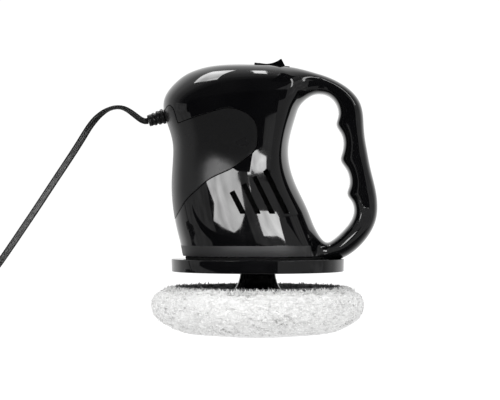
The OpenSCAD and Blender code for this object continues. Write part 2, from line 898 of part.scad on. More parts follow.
// A closed tube along a path; its rings turn round the axis up, which the path never follows
module tube(path, r, sides, up) {
    n = len(path);
    loft([for (k = [0:n - 1])
        let (ahead = unit(path[min(n - 1, k + 1)] - path[max(0, k - 1)]),
            across = unit(cross(up, ahead)), over = cross(ahead, across))
        [for (s = [0:sides - 1])
            path[k] + r * (cos(s * 360 / sides) * across + sin(s * 360 / sides) * over)]]);
}

red_in = [[-58.5, -1.6, 158.6], [-52, -2.5, 160.2], [-40, -3, 161], [-26, -3, 163], [-12, -2, 164],
    [-2, -1, 165.5], [1.4, 0, 170.2]];
red_out = [[13.1, 0, 169], [9, 4, 165], [0, 8, 162], [-12, 11, 161], [-21, 12, 159], [-22, 12, 155.2]];
black_in = [[-58.5, 1.6, 157], [-52, 0, 155.5], [-42, -6, 156], [-30, -11, 158.5], [-23, -12, 158],
    [-22, -12, 155.2]];

module lead_red() {
    color("red") {
        tube(smooth_route(red_in, 2), 0.9, 6, [0, 1, 0]);
        tube(smooth_route(red_out, 2), 0.9, 6, [0, 1, 0.2]);
    }
}

module lead_black() {
    color([0.1, 0.1, 0.1]) tube(smooth_route(black_in, 2), 0.9, 6, [0, 1, 0.1]);
}

relief_l = 12;
relief_profile = [[0, -6], [6.5, -6], [6.5, -4.2], [4.2, -4.2], [4.2, 0], [5.4, 0], [5.4, 2],
    [4.3, 2.4], [4.3, 3.3], [5.1, 3.6], [4.9, 5.2], [4, 5.5], [4, 6.4], [4.7, 6.7], [4.5, 8.3],
    [3.7, 8.6], [3.7, 9.4], [4.3, 9.7], [4, 12], [0, 12]];

module strain_relief() {
    color(matt_black) at_relief() rotate_extrude($fn = 48) polygon(relief_profile);
}

// Route of the cord: out of the relief, over its hump, down to the floor and on to the coil
coil_x = -250;
coil_floor = 1;
coil_turn_r = 34;
cord_route = [[-77.7, 0, 153.4], [-80.5, 0, 153.3], [-84.5, 0, 155.4], [-90, 0, 159.6],
    [-96.5, 0, 162.9], [-103.5, 0, 162.6], [-110.4, 0, 159], [-117.2, 0, 152.3], [-124, 0, 142],
    [-134, 0, 126.3], [-144.3, 0, 110.8], [-156, 0, 93], [-168, -1, 75], [-180, -4, 57],
    [-192, -10, 40], [-205, -18, 24], [-219, -27, 11], [-233, -32.6, 4.6],
    [coil_x, -coil_turn_r, coil_floor + cord_d / 2]];

module cord_tube() {
    color(matt_black) tube(smooth_route(cord_route, 2), cord_d / 2, 8, [0, 1, 0]);
}

coil_layers = 3;
coil_h = coil_layers * cord_d + 0.8;
coil_inner = 20.4;
coil_outer = coil_turn_r + 1.9;

module cord_coil() {
    color(matt_black)
    translate([coil_x, 0, coil_floor])
    rotate_extrude()
    polygon([[coil_inner + 0.8, 0], [coil_outer - 0.8, 0], [coil_outer, 0.8],
        [coil_outer, coil_h - 0.8], [coil_outer - 0.8, coil_h], [coil_inner + 0.8, coil_h],
        [coil_inner, coil_h - 0.8], [coil_inner, 0.8]]);
}

// The plug lies beside the coil, with its tip towards +Y
plug_x = -303;
plug_y = 16;
plug_z = 11.2;
tail_route = [[-277.6, -20.3, 13.6], [-284, -12.5, 13.4], [-291.5, -5, 12.8], [-298.5, 0, 12],
    [-302.3, 2.5, 11.4], [-303, 4, 11.2]];

module cord_tail() {
    color(matt_black) tube(smooth_route(tail_route, 2), cord_d / 2, 8, [0, 0, 1]);
}

// Hook-and-loop strap round the coil
module cord_tie() {
    tie_w = 14;
    inside = [sqrt(pow(coil_inner, 2) - pow(tie_w / 2, 2)) - 0.3, coil_outer + 0.6];
    color(matt_black)
    translate([coil_x, 0, 0])
    rotate([0, 0, 60])
    translate([0, tie_w / 2, 0])
    rotate([90, 0, 0])
    linear_extrude(tie_w)
    difference() {
        translate([inside[0] - 0.9, 0]) square([inside[1] - inside[0] + 1.8, coil_h + 2.3]);
        translate([inside[0], 0.9]) square([inside[1] - inside[0], coil_h + 0.5]);
    }
}

// ---- Accessory plug, drawn along +Z from its rear face and laid along +Y ----

module at_plug() {
    translate([plug_x, plug_y, plug_z]) rotate([-90, 0, 0]) children();
}

grip_l = 30;
collar_z = 43;
ring_z = 52;
fuse_bore_r = 4.4;

module plug_grip() {
    color(gloss_black)
    at_plug()
    difference() {
        rotate_extrude()
        polygon([[0, -12], [3.6, -12], [4.4, -6], [4.6, 0], [8.2, 0.6], [10.4, 3], [11, 6], [10.6, 8],
            [10.6, 9.5], [11.1, 11], [10.6, 12.6], [10.6, 14], [11.1, 15.6], [10.6, 17.2],
            [10.6, 18.6], [11.1, 20.2], [11.2, 28], [10.8, grip_l], [0, grip_l]]);
        translate([0, 0, 22]) cylinder(h = grip_l, r = 8.6);
        translate([0, 0, 12]) cylinder(h = grip_l, r = fuse_bore_r);
    }
}

module plug_barrel() {
    color(gloss_black)
    at_plug()
    difference() {
        union() {
            translate([0, 0, grip_l]) cylinder(h = collar_z - grip_l, r = barrel_r - 0.2);
            translate([0, 0, collar_z]) cylinder(h = ring_z - collar_z, r = barrel_r);
            translate([0, 0, 22]) cylinder(h = grip_l - 22, r = 8.6 - fit);
        }
        translate([0, 0, 21]) cylinder(h = ring_z, r = fuse_bore_r);
        for (s = [1, -1])
            translate([s > 0 ? 8 : -12, -2.1, 31.5]) cube([4, 4.2, 10.5]);
    }
}

module plug_side_contacts() {
    color(steel)
    at_plug()
    for (s = [1, -1])
        mirror([s > 0 ? 0 : 1, 0, 0])
        translate([0, 2, 0])
        rotate([90, 0, 0])
        linear_extrude(4)
        polygon([[8.1, 31.7], [9.4, 31.7], [10.8, 34.6], [11.1, 37], [10.8, 39.2], [9.6, 41.8],
            [8.1, 41.8]]);
}

module plug_nose_ring() {
    color(steel)
    at_plug()
    difference() {
        rotate_extrude()
        polygon([[3, 57.6], [7.4, 57.6], [8.6, 57], [9.6, 55.4], [9.8, ring_z], [3, ring_z]]);
        translate([0, 0, ring_z - 1]) cylinder(h = 4.6, r = fuse_bore_r);
    }
}

tip_travel = 2.5;

// The tip's collar rests inside the nose ring, and the spring behind the fuse pushes it there
module plug_tip() {
    color(brass)
    at_plug()
    rotate_extrude()
    polygon([[0, 53.4], [4.2, 53.4], [4.2, 55.5], [2.9, 55.5], [2.9, 60.6], [1.9, 62], [0, 62.2]]);
}

module plug_fuse() {
    cap_l = 5.5;
    color(steel)
    at_plug() {
        for (z = [23.4, 53.4 - cap_l])
            translate([0, 0, z]) cylinder(h = cap_l, r = 3.3);
        translate([0, 0, 23.4 + cap_l]) cylinder(h = 30 - 2 * cap_l, r = 3);
    }
}

// Compression spring behind the fuse
module plug_tip_spring() {
    turns = 5;
    steps = 12;
    length = 10.4;
    path = [for (k = [0:turns * steps])
        [2.7 * cos(k * 360 / steps), 2.7 * sin(k * 360 / steps),
         12.5 + length * k / (turns * steps)]];
    color(steel) at_plug() tube(path, 0.35, 6, [0, 0, 1]);
}

housing_left();
housing_right();
nose_panel();
base_flange();
housing_screws();
flange_screws();
switch_body();
switch_terminals();
rocker_pin();
switch_rocker();
gear_case();
motor_plate();
gear_case_screws();
lower_bearing();
upper_bearing();
motor_can();
motor_magnets();
motor_end_cap();
motor_brushes();
motor_terminals();
front_bush();
rear_bush();
motor_screws();
lead_red();
lead_black();
armature_shaft();
armature_core();
armature_windings();
commutator();
cooling_fan();
pinion();
spindle_shaft();
driven_gear();
gear_circlip();
drive_hub();
hub_screw();
backing_plate();
plate_screws();
foam_pad();
bonnet();
bonnet_elastic();
strain_relief();
cord_tube();
cord_coil();
cord_tail();
cord_tie();
plug_grip();
plug_barrel();
plug_nose_ring();
plug_side_contacts();
plug_fuse();
plug_tip_spring();
plug_tip();
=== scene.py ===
"""The looks of a small rotary polisher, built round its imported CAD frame.

Shapes are worked out in millimetres in the row frame (+Z up the spin axis, the handle towards +X,
the cord towards -X) and become metres when a piece is made.
"""

import json
import math
from contextlib import contextmanager

import bmesh
import bpy
import numpy as np
from mathutils import Matrix, Vector


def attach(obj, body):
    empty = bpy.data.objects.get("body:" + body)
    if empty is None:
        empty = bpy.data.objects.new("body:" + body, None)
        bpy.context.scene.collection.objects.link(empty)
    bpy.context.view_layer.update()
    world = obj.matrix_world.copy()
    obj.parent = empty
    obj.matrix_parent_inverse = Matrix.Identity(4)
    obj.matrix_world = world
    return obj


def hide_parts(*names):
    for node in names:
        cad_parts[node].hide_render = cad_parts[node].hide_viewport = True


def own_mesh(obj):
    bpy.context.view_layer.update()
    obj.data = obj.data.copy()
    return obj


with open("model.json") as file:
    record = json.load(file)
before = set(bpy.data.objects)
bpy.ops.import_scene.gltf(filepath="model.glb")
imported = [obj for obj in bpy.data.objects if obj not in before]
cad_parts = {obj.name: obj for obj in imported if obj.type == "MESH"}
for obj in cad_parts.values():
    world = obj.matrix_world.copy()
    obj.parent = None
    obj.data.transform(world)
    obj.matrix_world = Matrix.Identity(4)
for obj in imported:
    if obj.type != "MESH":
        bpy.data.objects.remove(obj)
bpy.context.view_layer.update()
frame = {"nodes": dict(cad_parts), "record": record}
CAD = frame["nodes"]
MM = 0.001
SEED = 7


# ---- Mesh helpers ----


def link(obj):
    bpy.context.scene.collection.objects.link(obj)
    return obj


def new_piece(name, verts, faces, smooth=True):
    """A mesh object from vertices in millimetres."""
    mesh = bpy.data.meshes.new(name)
    mesh.from_pydata((np.asarray(verts, float) * MM).tolist(), [], [list(map(int, f)) for f in faces])
    mesh.validate()
    mesh.polygons.foreach_set("use_smooth", [smooth] * len(mesh.polygons))
    mesh.update()
    return link(bpy.data.objects.new(name, mesh))


def dress(obj, material, body, stands_for):
    """Gives a piece its material in a slot of its own, puts it under its body and hides the CAD nodes that it stands
    for.
    """
    obj.data.materials.clear()
    obj.data.materials.append(material)
    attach(obj, body)
    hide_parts(*stands_for)
    return obj


def sharpen(obj, degrees):
    """Smooth shading that stays sharp along edges steeper than an angle."""
    obj.data.set_sharp_from_angle(angle=math.radians(degrees))
    return obj


def apply_modifier(obj, modifier):
    with bpy.context.temp_override(object=obj, active_object=obj, selected_objects=[obj]):
        bpy.ops.object.modifier_apply(modifier=modifier.name)


def boolean(obj, cutter, operation="DIFFERENCE", keep_cutter=False):
    """Cuts or joins with another closed mesh, which is then removed."""
    m = obj.modifiers.new("cut", "BOOLEAN")
    m.operation = operation
    m.solver = "MANIFOLD"
    m.object = cutter
    apply_modifier(obj, m)
    if obj.modifiers:
        raise RuntimeError(f"the cut of {obj.name} by {cutter.name} failed")
    if not keep_cutter:
        remove(cutter)
    return obj


def remove(obj):
    mesh = obj.data
    bpy.data.objects.remove(obj)
    bpy.data.meshes.remove(mesh)


@contextmanager
def edited(obj):
    """A mesh opened for editing, and written back afterwards."""
    bm = bmesh.new()
    bm.from_mesh(obj.data)
    yield bm
    bm.to_mesh(obj.data)
    bm.free()


def loft(rings, closed_ends=True):
    """Vertices and quads of a skin through rings of the same number of points."""
    rings = np.asarray(rings, float)
    n, sides = rings.shape[:2]
    faces = []
    for k in range(n - 1):
        for s in range(sides):
            e = (s + 1) % sides
            faces.append([k * sides + s, k * sides + e, (k + 1) * sides + e, (k + 1) * sides + s])
    if closed_ends:
        faces.append(list(range(sides - 1, -1, -1)))
        faces.append([(n - 1) * sides + s for s in range(sides)])
    return rings.reshape(-1, 3), faces


def closed_loft(rings):
    """Vertices and quads of a skin whose last ring joins its first."""
    rings = np.asarray(rings, float)
    verts, faces = loft(np.concatenate([rings, rings[:1]]), closed_ends=False)
    count = len(verts) - rings.shape[1]
    return verts[:count], [[v % count for v in f] for f in faces]


def unit(rows):
    return rows / np.linalg.norm(rows, axis=1)[:, None]


def round_angles(sides):
    return np.arange(sides) * 2 * math.pi / sides


def reach_along(points):
    """Distance of each point from the first, measured along the line of them."""
    return np.concatenate([[0], np.cumsum(np.linalg.norm(np.diff(points, axis=0), axis=1))])


def spline(knots, values, t, slope=False):
    """Natural cubic spline through rows of values at rising knots, or its slope."""
    knots, values = np.asarray(knots, float), np.asarray(values, float)
    n, h = len(knots), np.diff(knots)
    rise = np.diff(values, axis=0) / h[:, None]
    a, b = np.eye(n), np.zeros_like(values)
    for k in range(1, n - 1):
        a[k, k - 1 : k + 2] = h[k - 1], 2 * (h[k - 1] + h[k]), h[k]
        b[k] = 6 * (rise[k] - rise[k - 1])
    m = np.linalg.solve(a, b)
    t = np.clip(t, knots[0], knots[-1])
    k = np.clip(np.searchsorted(knots, t) - 1, 0, n - 2)
    w = h[k][..., None]
    d = (t - knots[k])[..., None]
    e = w - d
    if slope:
        return (m[k + 1] * d**2 - m[k] * e**2) / (2 * w) + rise[k] - (m[k + 1] - m[k]) * w / 6
    return (m[k] * e**3 + m[k + 1] * d**3) / (6 * w) + (values[k] / w - m[k] * w / 6) * e + (
        values[k + 1] / w - m[k + 1] * w / 6
    ) * d


def smooth_curve(points, step):
    """Points about step apart along a smooth curve through given points."""
    points = np.asarray(points, float)
    reach = reach_along(points)
    return spline(reach, points, np.linspace(0, reach[-1], max(2, int(round(reach[-1] / step)) + 1)))


# ---- Camera ----

CAMERA_DISTANCE = 1.6
VIEW_MIDDLE = (-0.0055, 0.0973)
VIEW_WIDTH = 0.355


def make_camera():
    data = bpy.data.cameras.new("camera")
    data.sensor_width = 36
    data.lens = data.sensor_width * CAMERA_DISTANCE / VIEW_WIDTH
    data.clip_end = 30
    camera = link(bpy.data.objects.new("camera", data))
    camera.location = (VIEW_MIDDLE[0], -CAMERA_DISTANCE, VIEW_MIDDLE[1])
    camera.rotation_euler = (math.radians(90), 0, 0)
    bpy.context.scene.camera = camera


make_camera()


# ---- Cord: a flat twin lead, from the strain relief over its hump and down to the coil ----

CORD_WIDTH = 5.0
CORD_THICK = 2.6
CORD_ROUTE = [
    (-77.7, 0, 153.4), (-80.5, 0, 153.3), (-84.5, 0, 155.4), (-90, 0, 159.6), (-96.5, 0, 162.9),
    (-103.5, 0, 162.6), (-110.4, 0, 159), (-117.2, 0, 152.3), (-124, 0, 142), (-134, 0, 126.3),
    (-144.3, 0, 110.8), (-156, 0, 93), (-168, -1, 75), (-180, -4, 57), (-192, -10, 40),
    (-205, -18, 24), (-219, -27, 11), (-233, -32.6, 4.6), (-250, -34, 3.5),
]
# How far the cord's broad side has turned from facing up towards facing the front, along the route
CORD_TWIST = [(0, 50), (12, 40), (24, 8), (31, 10), (45, 62), (62, 90), (400, 90)]
TAIL_ROUTE = [
    (-277.6, -20.3, 13.6), (-284, -12.5, 13.4), (-291.5, -5, 12.8), (-298.5, 0, 12),
    (-302.3, 2.5, 11.4), (-303, 4, 11.2),
]
COIL_X = -250.0
COIL_RADII = (34, 31, 28, 25, 22)
COIL_HEIGHTS = (3.5, 8.7, 13.7)
COIL_ENTRY = 270
COIL_SHIFT = 60
COIL_EXIT = 216.3
COIL_STEP = 7.5


def coil_slots():
    """Radius and height of each turn: the floor layer inwards, then the upper two in a zigzag outwards."""
    slots = [(r, COIL_HEIGHTS[0]) for r in COIL_RADII]
    for k, r in enumerate(reversed(COIL_RADII)):
        pair = COIL_HEIGHTS[1:] if k % 2 == 0 else COIL_HEIGHTS[:0:-1]
        slots += [(r, h) for h in pair]
    return slots


def coil_path():
    """The coil's turns; each change of turn lies under the strap."""
    slots = coil_slots()
    swing = (COIL_ENTRY - COIL_SHIFT) + 360 * (len(slots) - 2) + (360 + COIL_SHIFT - COIL_EXIT)
    angles = np.arange(0, swing + 0.1, COIL_STEP)
    at = (angles - (COIL_ENTRY - COIL_SHIFT)) / 360 + 1
    turn = np.floor(at).astype(int)
    past = (at - turn) * 360
    late = past > 180
    near = np.where(late, past - 360, past)
    blend = np.clip(near / 40 + 0.5, 0, 1)
    blend = blend * blend * (3 - 2 * blend)
    first = np.clip(np.where(late, turn, turn - 1), 0, len(slots) - 1)
    second = np.clip(first + 1, 0, len(slots) - 1)
    s = np.array(slots, float)
    radius = s[first, 0] * (1 - blend) + s[second, 0] * blend
    height = s[first, 1] * (1 - blend) + s[second, 1] * blend
    a = np.radians(COIL_ENTRY - angles)
    return np.stack([COIL_X + radius * np.cos(a), radius * np.sin(a), height], 1)


def twin_section():
    """Outline of the flat twin lead: two round cores with a shallow groove between them."""
    r, core, waist = CORD_THICK / 2, (CORD_WIDTH - CORD_THICK) / 2, 0.92
    right = [(core + r * math.cos(a), r * math.sin(a)) for a in np.radians(np.arange(-90, 91, 30))]
    top = [(0.5 * core, 0.5 * (r + waist) + 0.12), (0, waist), (-0.5 * core, 0.5 * (r + waist) + 0.12)]
    half = right + top
    return half + [(-x, -y) for x, y in half[: len(right)]] + [(-x, -y) for x, y in top]


def sweep(path, section, broad):
    """Rings of a section along a path; broad is the direction of the section's first axis at each point."""
    path = np.asarray(path, float)
    ahead = unit(np.gradient(path, axis=0))
    broad = unit(broad - (broad * ahead).sum(1)[:, None] * ahead)
    over = np.cross(ahead, broad)
    u, v = np.transpose(section)
    return [p + np.outer(u, b) + np.outer(v, o) for p, b, o in zip(path, broad, over)]


def make_cord_path():
    free = smooth_curve(CORD_ROUTE, 2.5)
    coil = coil_path()[1:]
    tail = smooth_curve(TAIL_ROUTE, 2.0)
    path = np.vstack([free, coil[:-1], tail])
    reach = reach_along(path)
    turned = np.radians(np.interp(reach, *zip(*CORD_TWIST)))
    ahead = np.gradient(path, axis=0)
    across = np.cross(ahead, [0, 1, 0])
    across /= np.maximum(np.linalg.norm(across, axis=1), 1e-9)[:, None]
    broad = np.cos(turned)[:, None] * np.array([0, 1, 0]) + np.sin(turned)[:, None] * across
    wound = np.arange(len(path)) >= len(free) - 4
    broad[wound] = [0, 0, -1]
    return path, broad, reach[-1]


cord_path, cord_broad, cord_length = make_cord_path()
verts, faces = loft(sweep(cord_path, twin_section(), cord_broad))
cord = new_piece("flat_twin_cord", verts, faces)


# ---- Housing form, as a field of distances: below zero inside ----

# Sections of the body: height, nose x, side-edge x, back x, half-width, half-width at the edge
BODY_LEVELS = np.array([
    (50.0, -50.6, 38.5, 42.0, 38.6, 25.6), (54.0, -51.9, 38.4, 42.9, 39.8, 26.2),
    (57.2, -52.9, 38.0, 43.7, 40.6, 26.6), (60.5, -53.7, 37.6, 44.0, 41.5, 27.0),
    (65.5, -54.6, 35.6, 43.6, 42.3, 27.8), (72, -56.2, 32.3, 42.1, 43.2, 28.8),
    (80, -58.1, 28.4, 39.3, 43.8, 30.0), (92, -60.1, 23.4, 34.6, 44.0, 31.0),
    (106, -61.1, 18.0, 27.9, 43.5, 31.3), (124, -60.3, 14.4, 22.2, 42.1, 31.0),
    (138, -60.4, 15.7, 22.1, 41.8, 31.0), (149, -63.3, 17.8, 24.6, 42.3, 31.0),
    (157, -66.0, 19.8, 27.0, 42.5, 30.6), (163, -67.0, 21.4, 29.2, 42.1, 30.0),
    (169, -66.3, 23.8, 32.8, 40.9, 28.5), (175, -63.2, 26.4, 36.0, 38.3, 26.0),
    (181, -57.8, 28.0, 37.4, 34.2, 23.0), (186, -51.3, 26.6, 35.2, 29.0, 19.5),
    (190, -42.0, 20.0, 27.0, 22.4, 15.0), (192.4, -31.0, 8.0, 13.5, 14.2, 10.0),
    (193.3, -19.0, -4.0, -1.0, 5.0, 3.5),
])
BODY_TOP = 193.5
BODY_BASE = 57.9
WIDEST_SHARE = 0.48
NOSE_POWER = 2.2
EDGE_ROUND = 3.0

# The D handle's outer and inner outlines in x and z, from the body's top round to its foot
GRIP_OUTER = [
    (-30, 186), (0, 190.4), (18, 190.9), (31.7, 189.2), (45.6, 186.0), (58.0, 180.6), (67.3, 173.7),
    (72.6, 166.2), (74.6, 158.6), (75.2, 150.4), (76.0, 141.5), (77.7, 131.6), (79.7, 121), (82.0, 111.6),
    (84.0, 102.6), (84.9, 93), (84.0, 84), (81.0, 76.2), (76.4, 69.2), (70.4, 62.8), (63.2, 57.6),
    (50, 53), (20, 50), (-10, 50),
]
GRIP_INNER = [
    (-30, 150), (0, 160), (18, 167), (30, 170.8), (36.5, 171.9), (42.6, 172.4), (49.4, 171.3), (54.0, 167.8),
    (56.9, 162.2), (57.4, 157.6), (56.2, 153.2), (55.9, 150.6), (56.9, 148.2), (59.4, 144.2), (60.8, 139.6),
    (60.8, 134.8), (59.6, 129.4), (58.9, 126.2), (59.8, 123.6), (62.8, 119.4), (64.7, 115), (65.4, 110.2),
    (64.6, 105.6), (63.6, 102.2), (64.2, 99.8), (66.4, 96.9), (68.1, 92.8), (68.3, 88.6), (66.6, 83.2),
    (62.4, 77.3), (57.4, 72.2), (52.6, 68.4), (48.6, 66.8), (45.0, 67.8), (38, 72), (20, 80), (-10, 90),
]
GRIP_WIDTH = 14.5
GRIP_WIDEST = 0.58
GRIP_OUTER_POWER = 2.3
GRIP_INNER_POWER = 2.7
GRIP_BLEND = 9.0
GRIP_START_X = -22.0


def smooth_max(a, b, k):
    h = np.clip(0.5 + 0.5 * (a - b) / k, 0, 1)
    return b + (a - b) * h + k * h * (1 - h)


def body_columns():
    """Knots and values of what shapes a section: middle x, width ratios, half-width, back x, edge share."""
    z, nose, edge, back, half, edge_half = BODY_LEVELS.T
    middle = nose + WIDEST_SHARE * (edge - nose)
    share = edge_half / half
    reach = (edge - middle) / np.sqrt(1 - share**2)
    rows = np.stack([middle, half / (middle - nose), half / reach, half, back - middle, edge - middle, share], 1)
    apex = rows[-1].copy()
    apex[3:6] = 0, rows[-1][4] * 0.1, rows[-1][5] * 0.1
    knots = np.sqrt(BODY_TOP - z)[::-1]
    return np.concatenate([[0.0], knots]), np.vstack([apex, rows[::-1]])


BODY_KNOTS, BODY_VALUES = body_columns()


def body_field(x, y, z):
    s = np.sqrt(np.maximum(BODY_TOP - z, 1e-4))
    middle, front, rear, half, back, edge, share = np.moveaxis(spline(BODY_KNOTS, BODY_VALUES, s), -1, 0)
    half_slope = spline(BODY_KNOTS, BODY_VALUES, s, slope=True)[..., 3]
    half = np.maximum(half, 0.02)
    dx, ay = x - middle, np.abs(y)
    ahead = dx < 0
    power = np.where(ahead, NOSE_POWER, 2.0)
    ratio = np.where(ahead, front, rear)
    across = (np.abs(dx) * ratio) ** power + ay**power
    square = across ** (2 / power)
    steep = 2 * np.sqrt((half * np.maximum(ratio, 0.9)) ** 2 + (half * half_slope / (2 * s)) ** 2)
    side = (square - half**2) / steep
    edge_half = np.maximum(share * half, 0.02)
    rear_face = dx - back + (back - edge) * np.minimum(ay / edge_half, 1.6) ** 2
    lean = np.sqrt(1 + (2 * (back - edge) / edge_half * np.minimum(ay / edge_half, 1)) ** 2)
    field = smooth_max(side, rear_face / lean, EDGE_ROUND)
    return np.where(z > BODY_TOP, np.maximum(field, z - BODY_TOP), field)


MAP_LOW, MAP_HIGH, MAP_STEP = (-72.0, 40.0), (96.0, 204.0), 1.0


def outline_map(points, outward):
    """Signed distance to an outline on a grid over x and z, a little softened; outward is the side left of it."""
    curve = smooth_curve(points, 0.6)
    gx = np.arange(MAP_LOW[0], MAP_HIGH[0], MAP_STEP)
    gz = np.arange(MAP_LOW[1], MAP_HIGH[1], MAP_STEP)
    x, z = np.meshgrid(gx, gz, indexing="ij")
    best, sign = np.full(x.shape, 1e9), np.ones(x.shape)
    for a, b in zip(curve[:-1], curve[1:]):
        along = b - a
        t = np.clip(((x - a[0]) * along[0] + (z - a[1]) * along[1]) / (along @ along), 0, 1)
        dx, dz = x - a[0] - t * along[0], z - a[1] - t * along[1]
        d = np.hypot(dx, dz)
        nearer = d < best
        best = np.where(nearer, d, best)
        sign = np.where(nearer, np.sign(along[0] * dz - along[1] * dx), sign)
    field = best * sign * outward
    for _ in range(2):
        p = np.pad(field, 1, mode="edge")
        field = (p[:-2, 1:-1] + p[2:, 1:-1] + p[1:-1, :-2] + p[1:-1, 2:] + 4 * field) / 8
    return field


def sample_map(grid, x, z):
    """Smooth cubic look-up in a map."""
    u = np.clip((x - MAP_LOW[0]) / MAP_STEP, 1, grid.shape[0] - 3)
    v = np.clip((z - MAP_LOW[1]) / MAP_STEP, 1, grid.shape[1] - 3)
    i, j = np.floor(u).astype(int), np.floor(v).astype(int)

    def weights(t):
        return [(1 - t) ** 3 / 6, (3 * t**3 - 6 * t**2 + 4) / 6, (-3 * t**3 + 3 * t**2 + 3 * t + 1) / 6, t**3 / 6]

    wu, wv = weights(u - i), weights(v - j)
    return sum(wu[a] * wv[b] * grid[i + a - 1, j + b - 1] for a in range(4) for b in range(4))


# Distance inside each outline, so that both are above zero within the handle
OUTER_MAP = outline_map(GRIP_OUTER, -1)
INNER_MAP = outline_map(GRIP_INNER, 1)


def grip_field(x, y, z):
    inside, beyond = sample_map(OUTER_MAP, x, z), sample_map(INNER_MAP, x, z)
    thick = np.maximum(inside + beyond, 4)
    t = inside / thick
    outer = t < GRIP_WIDEST
    u = np.where(outer, (GRIP_WIDEST - t) / GRIP_WIDEST, (t - GRIP_WIDEST) / (1 - GRIP_WIDEST))
    span = np.where(outer, GRIP_WIDEST, 1 - GRIP_WIDEST) * thick
    power = np.where(outer, GRIP_OUTER_POWER, GRIP_INNER_POWER)
    v = np.abs(y) / GRIP_WIDTH
    u = np.maximum(u, 1e-6)
    r = np.maximum((u**power + v**power) ** (1 / power), 1e-3)
    steep = np.hypot((u / r) ** (power - 1) / span, (v / r) ** (power - 1) / GRIP_WIDTH)
    return np.maximum((r - 1) / np.maximum(steep, 0.02), GRIP_START_X - x)


def housing_field(x, y, z):
    return -smooth_max(-body_field(x, y, z), -grip_field(x, y, z), GRIP_BLEND)


def field_gradient(field, p, step=0.05):
    g = [(field(*(p + d).T) - field(*(p - d).T)) / (2 * step) for d in np.eye(3) * step]
    return np.stack(g, 1)


BOX_CORNERS = list(np.ndindex(2, 2, 2))
SETTLE_STEPS = 3


def field_skin(name, field, low, high, cell, level=0.0):
    """A closed skin where a field crosses a level: surface nets, then each vertex moves onto the true surface."""
    axes = [np.arange(a, b + cell, cell) for a, b in zip(low, high)]
    x, y, z = np.meshgrid(*axes, indexing="ij")
    f = np.empty(x.shape)
    for k in range(0, x.shape[0], 16):
        s = slice(k, k + 16)
        f[s] = field(x[s], y[s], z[s]) - level
    corners = np.array([f[i : f.shape[0] - 1 + i, j : f.shape[1] - 1 + j, k : f.shape[2] - 1 + k]
                        for i, j, k in BOX_CORNERS])
    below = corners < 0
    mixed = below.any(0) & ~below.all(0)
    index = np.full(mixed.shape, -1)
    index[mixed] = np.arange(mixed.sum())
    cells = np.argwhere(mixed)
    at = corners[:, mixed]
    offsets = np.array(BOX_CORNERS, float)
    total, count = np.zeros((len(cells), 3)), np.zeros(len(cells))
    for a in range(8):
        for b in range(a + 1, 8):
            if np.abs(offsets[a] - offsets[b]).sum() != 1:
                continue
            crosses = (at[a] < 0) != (at[b] < 0)
            t = np.where(crosses, at[a] / np.where(crosses, at[a] - at[b], 1), 0)
            total += np.where(crosses[:, None], offsets[a] + t[:, None] * (offsets[b] - offsets[a]), 0)
            count += crosses
    verts = (cells + total / count[:, None]) * cell + np.array([a[0] for a in axes])
    faces = []
    for axis in range(3):
        one, two = (axis + 1) % 3, (axis + 2) % 3
        a = np.moveaxis(f < 0, (axis, one, two), (0, 1, 2))
        ids = np.moveaxis(index, (axis, one, two), (0, 1, 2))
        change = a[:-1, 1:-1, 1:-1] != a[1:, 1:-1, 1:-1]
        i, j, k = np.nonzero(change)
        quad = np.stack([ids[i, j, k], ids[i, j + 1, k], ids[i, j + 1, k + 1], ids[i, j, k + 1]], 1)
        inward = a[i, j + 1, k + 1]
        faces.append(np.where(inward[:, None], quad, quad[:, ::-1]))
    faces = np.vstack(faces)
    for _ in range(SETTLE_STEPS):
        g = field_gradient(field, verts)
        d = field(*verts.T) - level
        move = d[:, None] * g / np.maximum((g**2).sum(1), 0.05)[:, None]
        length = np.linalg.norm(move, axis=1)
        verts -= move * np.minimum(1, 0.5 * cell / np.maximum(length, 1e-9))[:, None]
    return new_piece(name, verts, faces)


# ---- Housing: two halves and the matt nose panel, cut from the field's skins ----

WALL = 2.8
PANEL_THICK = 1.4
PANEL_GAP = 0.35
SEAM_GAP = 0.25
LIP_INSET = 1.3
LIP_Z = 55.7
FIELD_LOW, FIELD_HIGH = (-70, -47, 49), (88, 47, 197)

# The nose panel's edge, from the nose below round to the notch over the cord, and the arch over the cord
PANEL_EDGE = [
    (-62.5, 76), (-58, 84.5), (-53.7, 91.6), (-50.3, 96.8), (-42, 104.8), (-35.1, 110.8), (-27, 115.2),
    (-18.8, 118.9), (-11, 124.2), (-3.7, 130.1), (-0.9, 134.4), (-0.1, 140), (-0.4, 147.2), (-2.8, 152.9),
    (-8.5, 157.7), (-15.1, 160.5), (-21.8, 161), (-27.5, 159.8), (-40.8, 155.8), (-55.7, 151),
]
PANEL_ARCH = [
    (-55.7, 151.0), (-57.6, 157), (-59.6, 161.8), (-62.3, 163.7), (-65.0, 161.4), (-66.6, 157.5), (-69, 150.5),
]
# Each vent's upper end in x and z, and its foot's x
VENTS = ((-17.9, 103, -10.2), (-9.7, 108.3, -0.1), (-2.5, 113.2, 10), (5.2, 117.9, 20.1))
VENT_WIDTH = 3.3
VENT_BASE = 88.0
# How far from the seam each vent's cut begins
VENT_STARTS = (26.5, 26.5, 16, 16)
SEAM_GROOVE, PANEL_GROOVE, VENT_GROOVE = 0.34, 0.42, 0.3
SKIN_CELL, CUT_CELL, INNER_CELL = 0.9, 1.4, 1.9
SWITCH_PLACE = Matrix.Translation((10, 0, 192.1)) @ Matrix.Rotation(math.radians(6.3), 4, "Y")
SWITCH_LONG, SWITCH_WIDE = 25.0, 15.5
RELIEF_PLACE = Matrix.Translation((-66.2, 0, 156.9)) @ Matrix.Rotation(math.radians(-107), 4, "Y")
RELIEF_HOLE_R = 4.6
MOTOR_X = -22.0
MOTOR_BORE_R = 21.3
CROWN_X, CROWN_REACH, CROWN_Z = -12.0, 22.0, 192.2
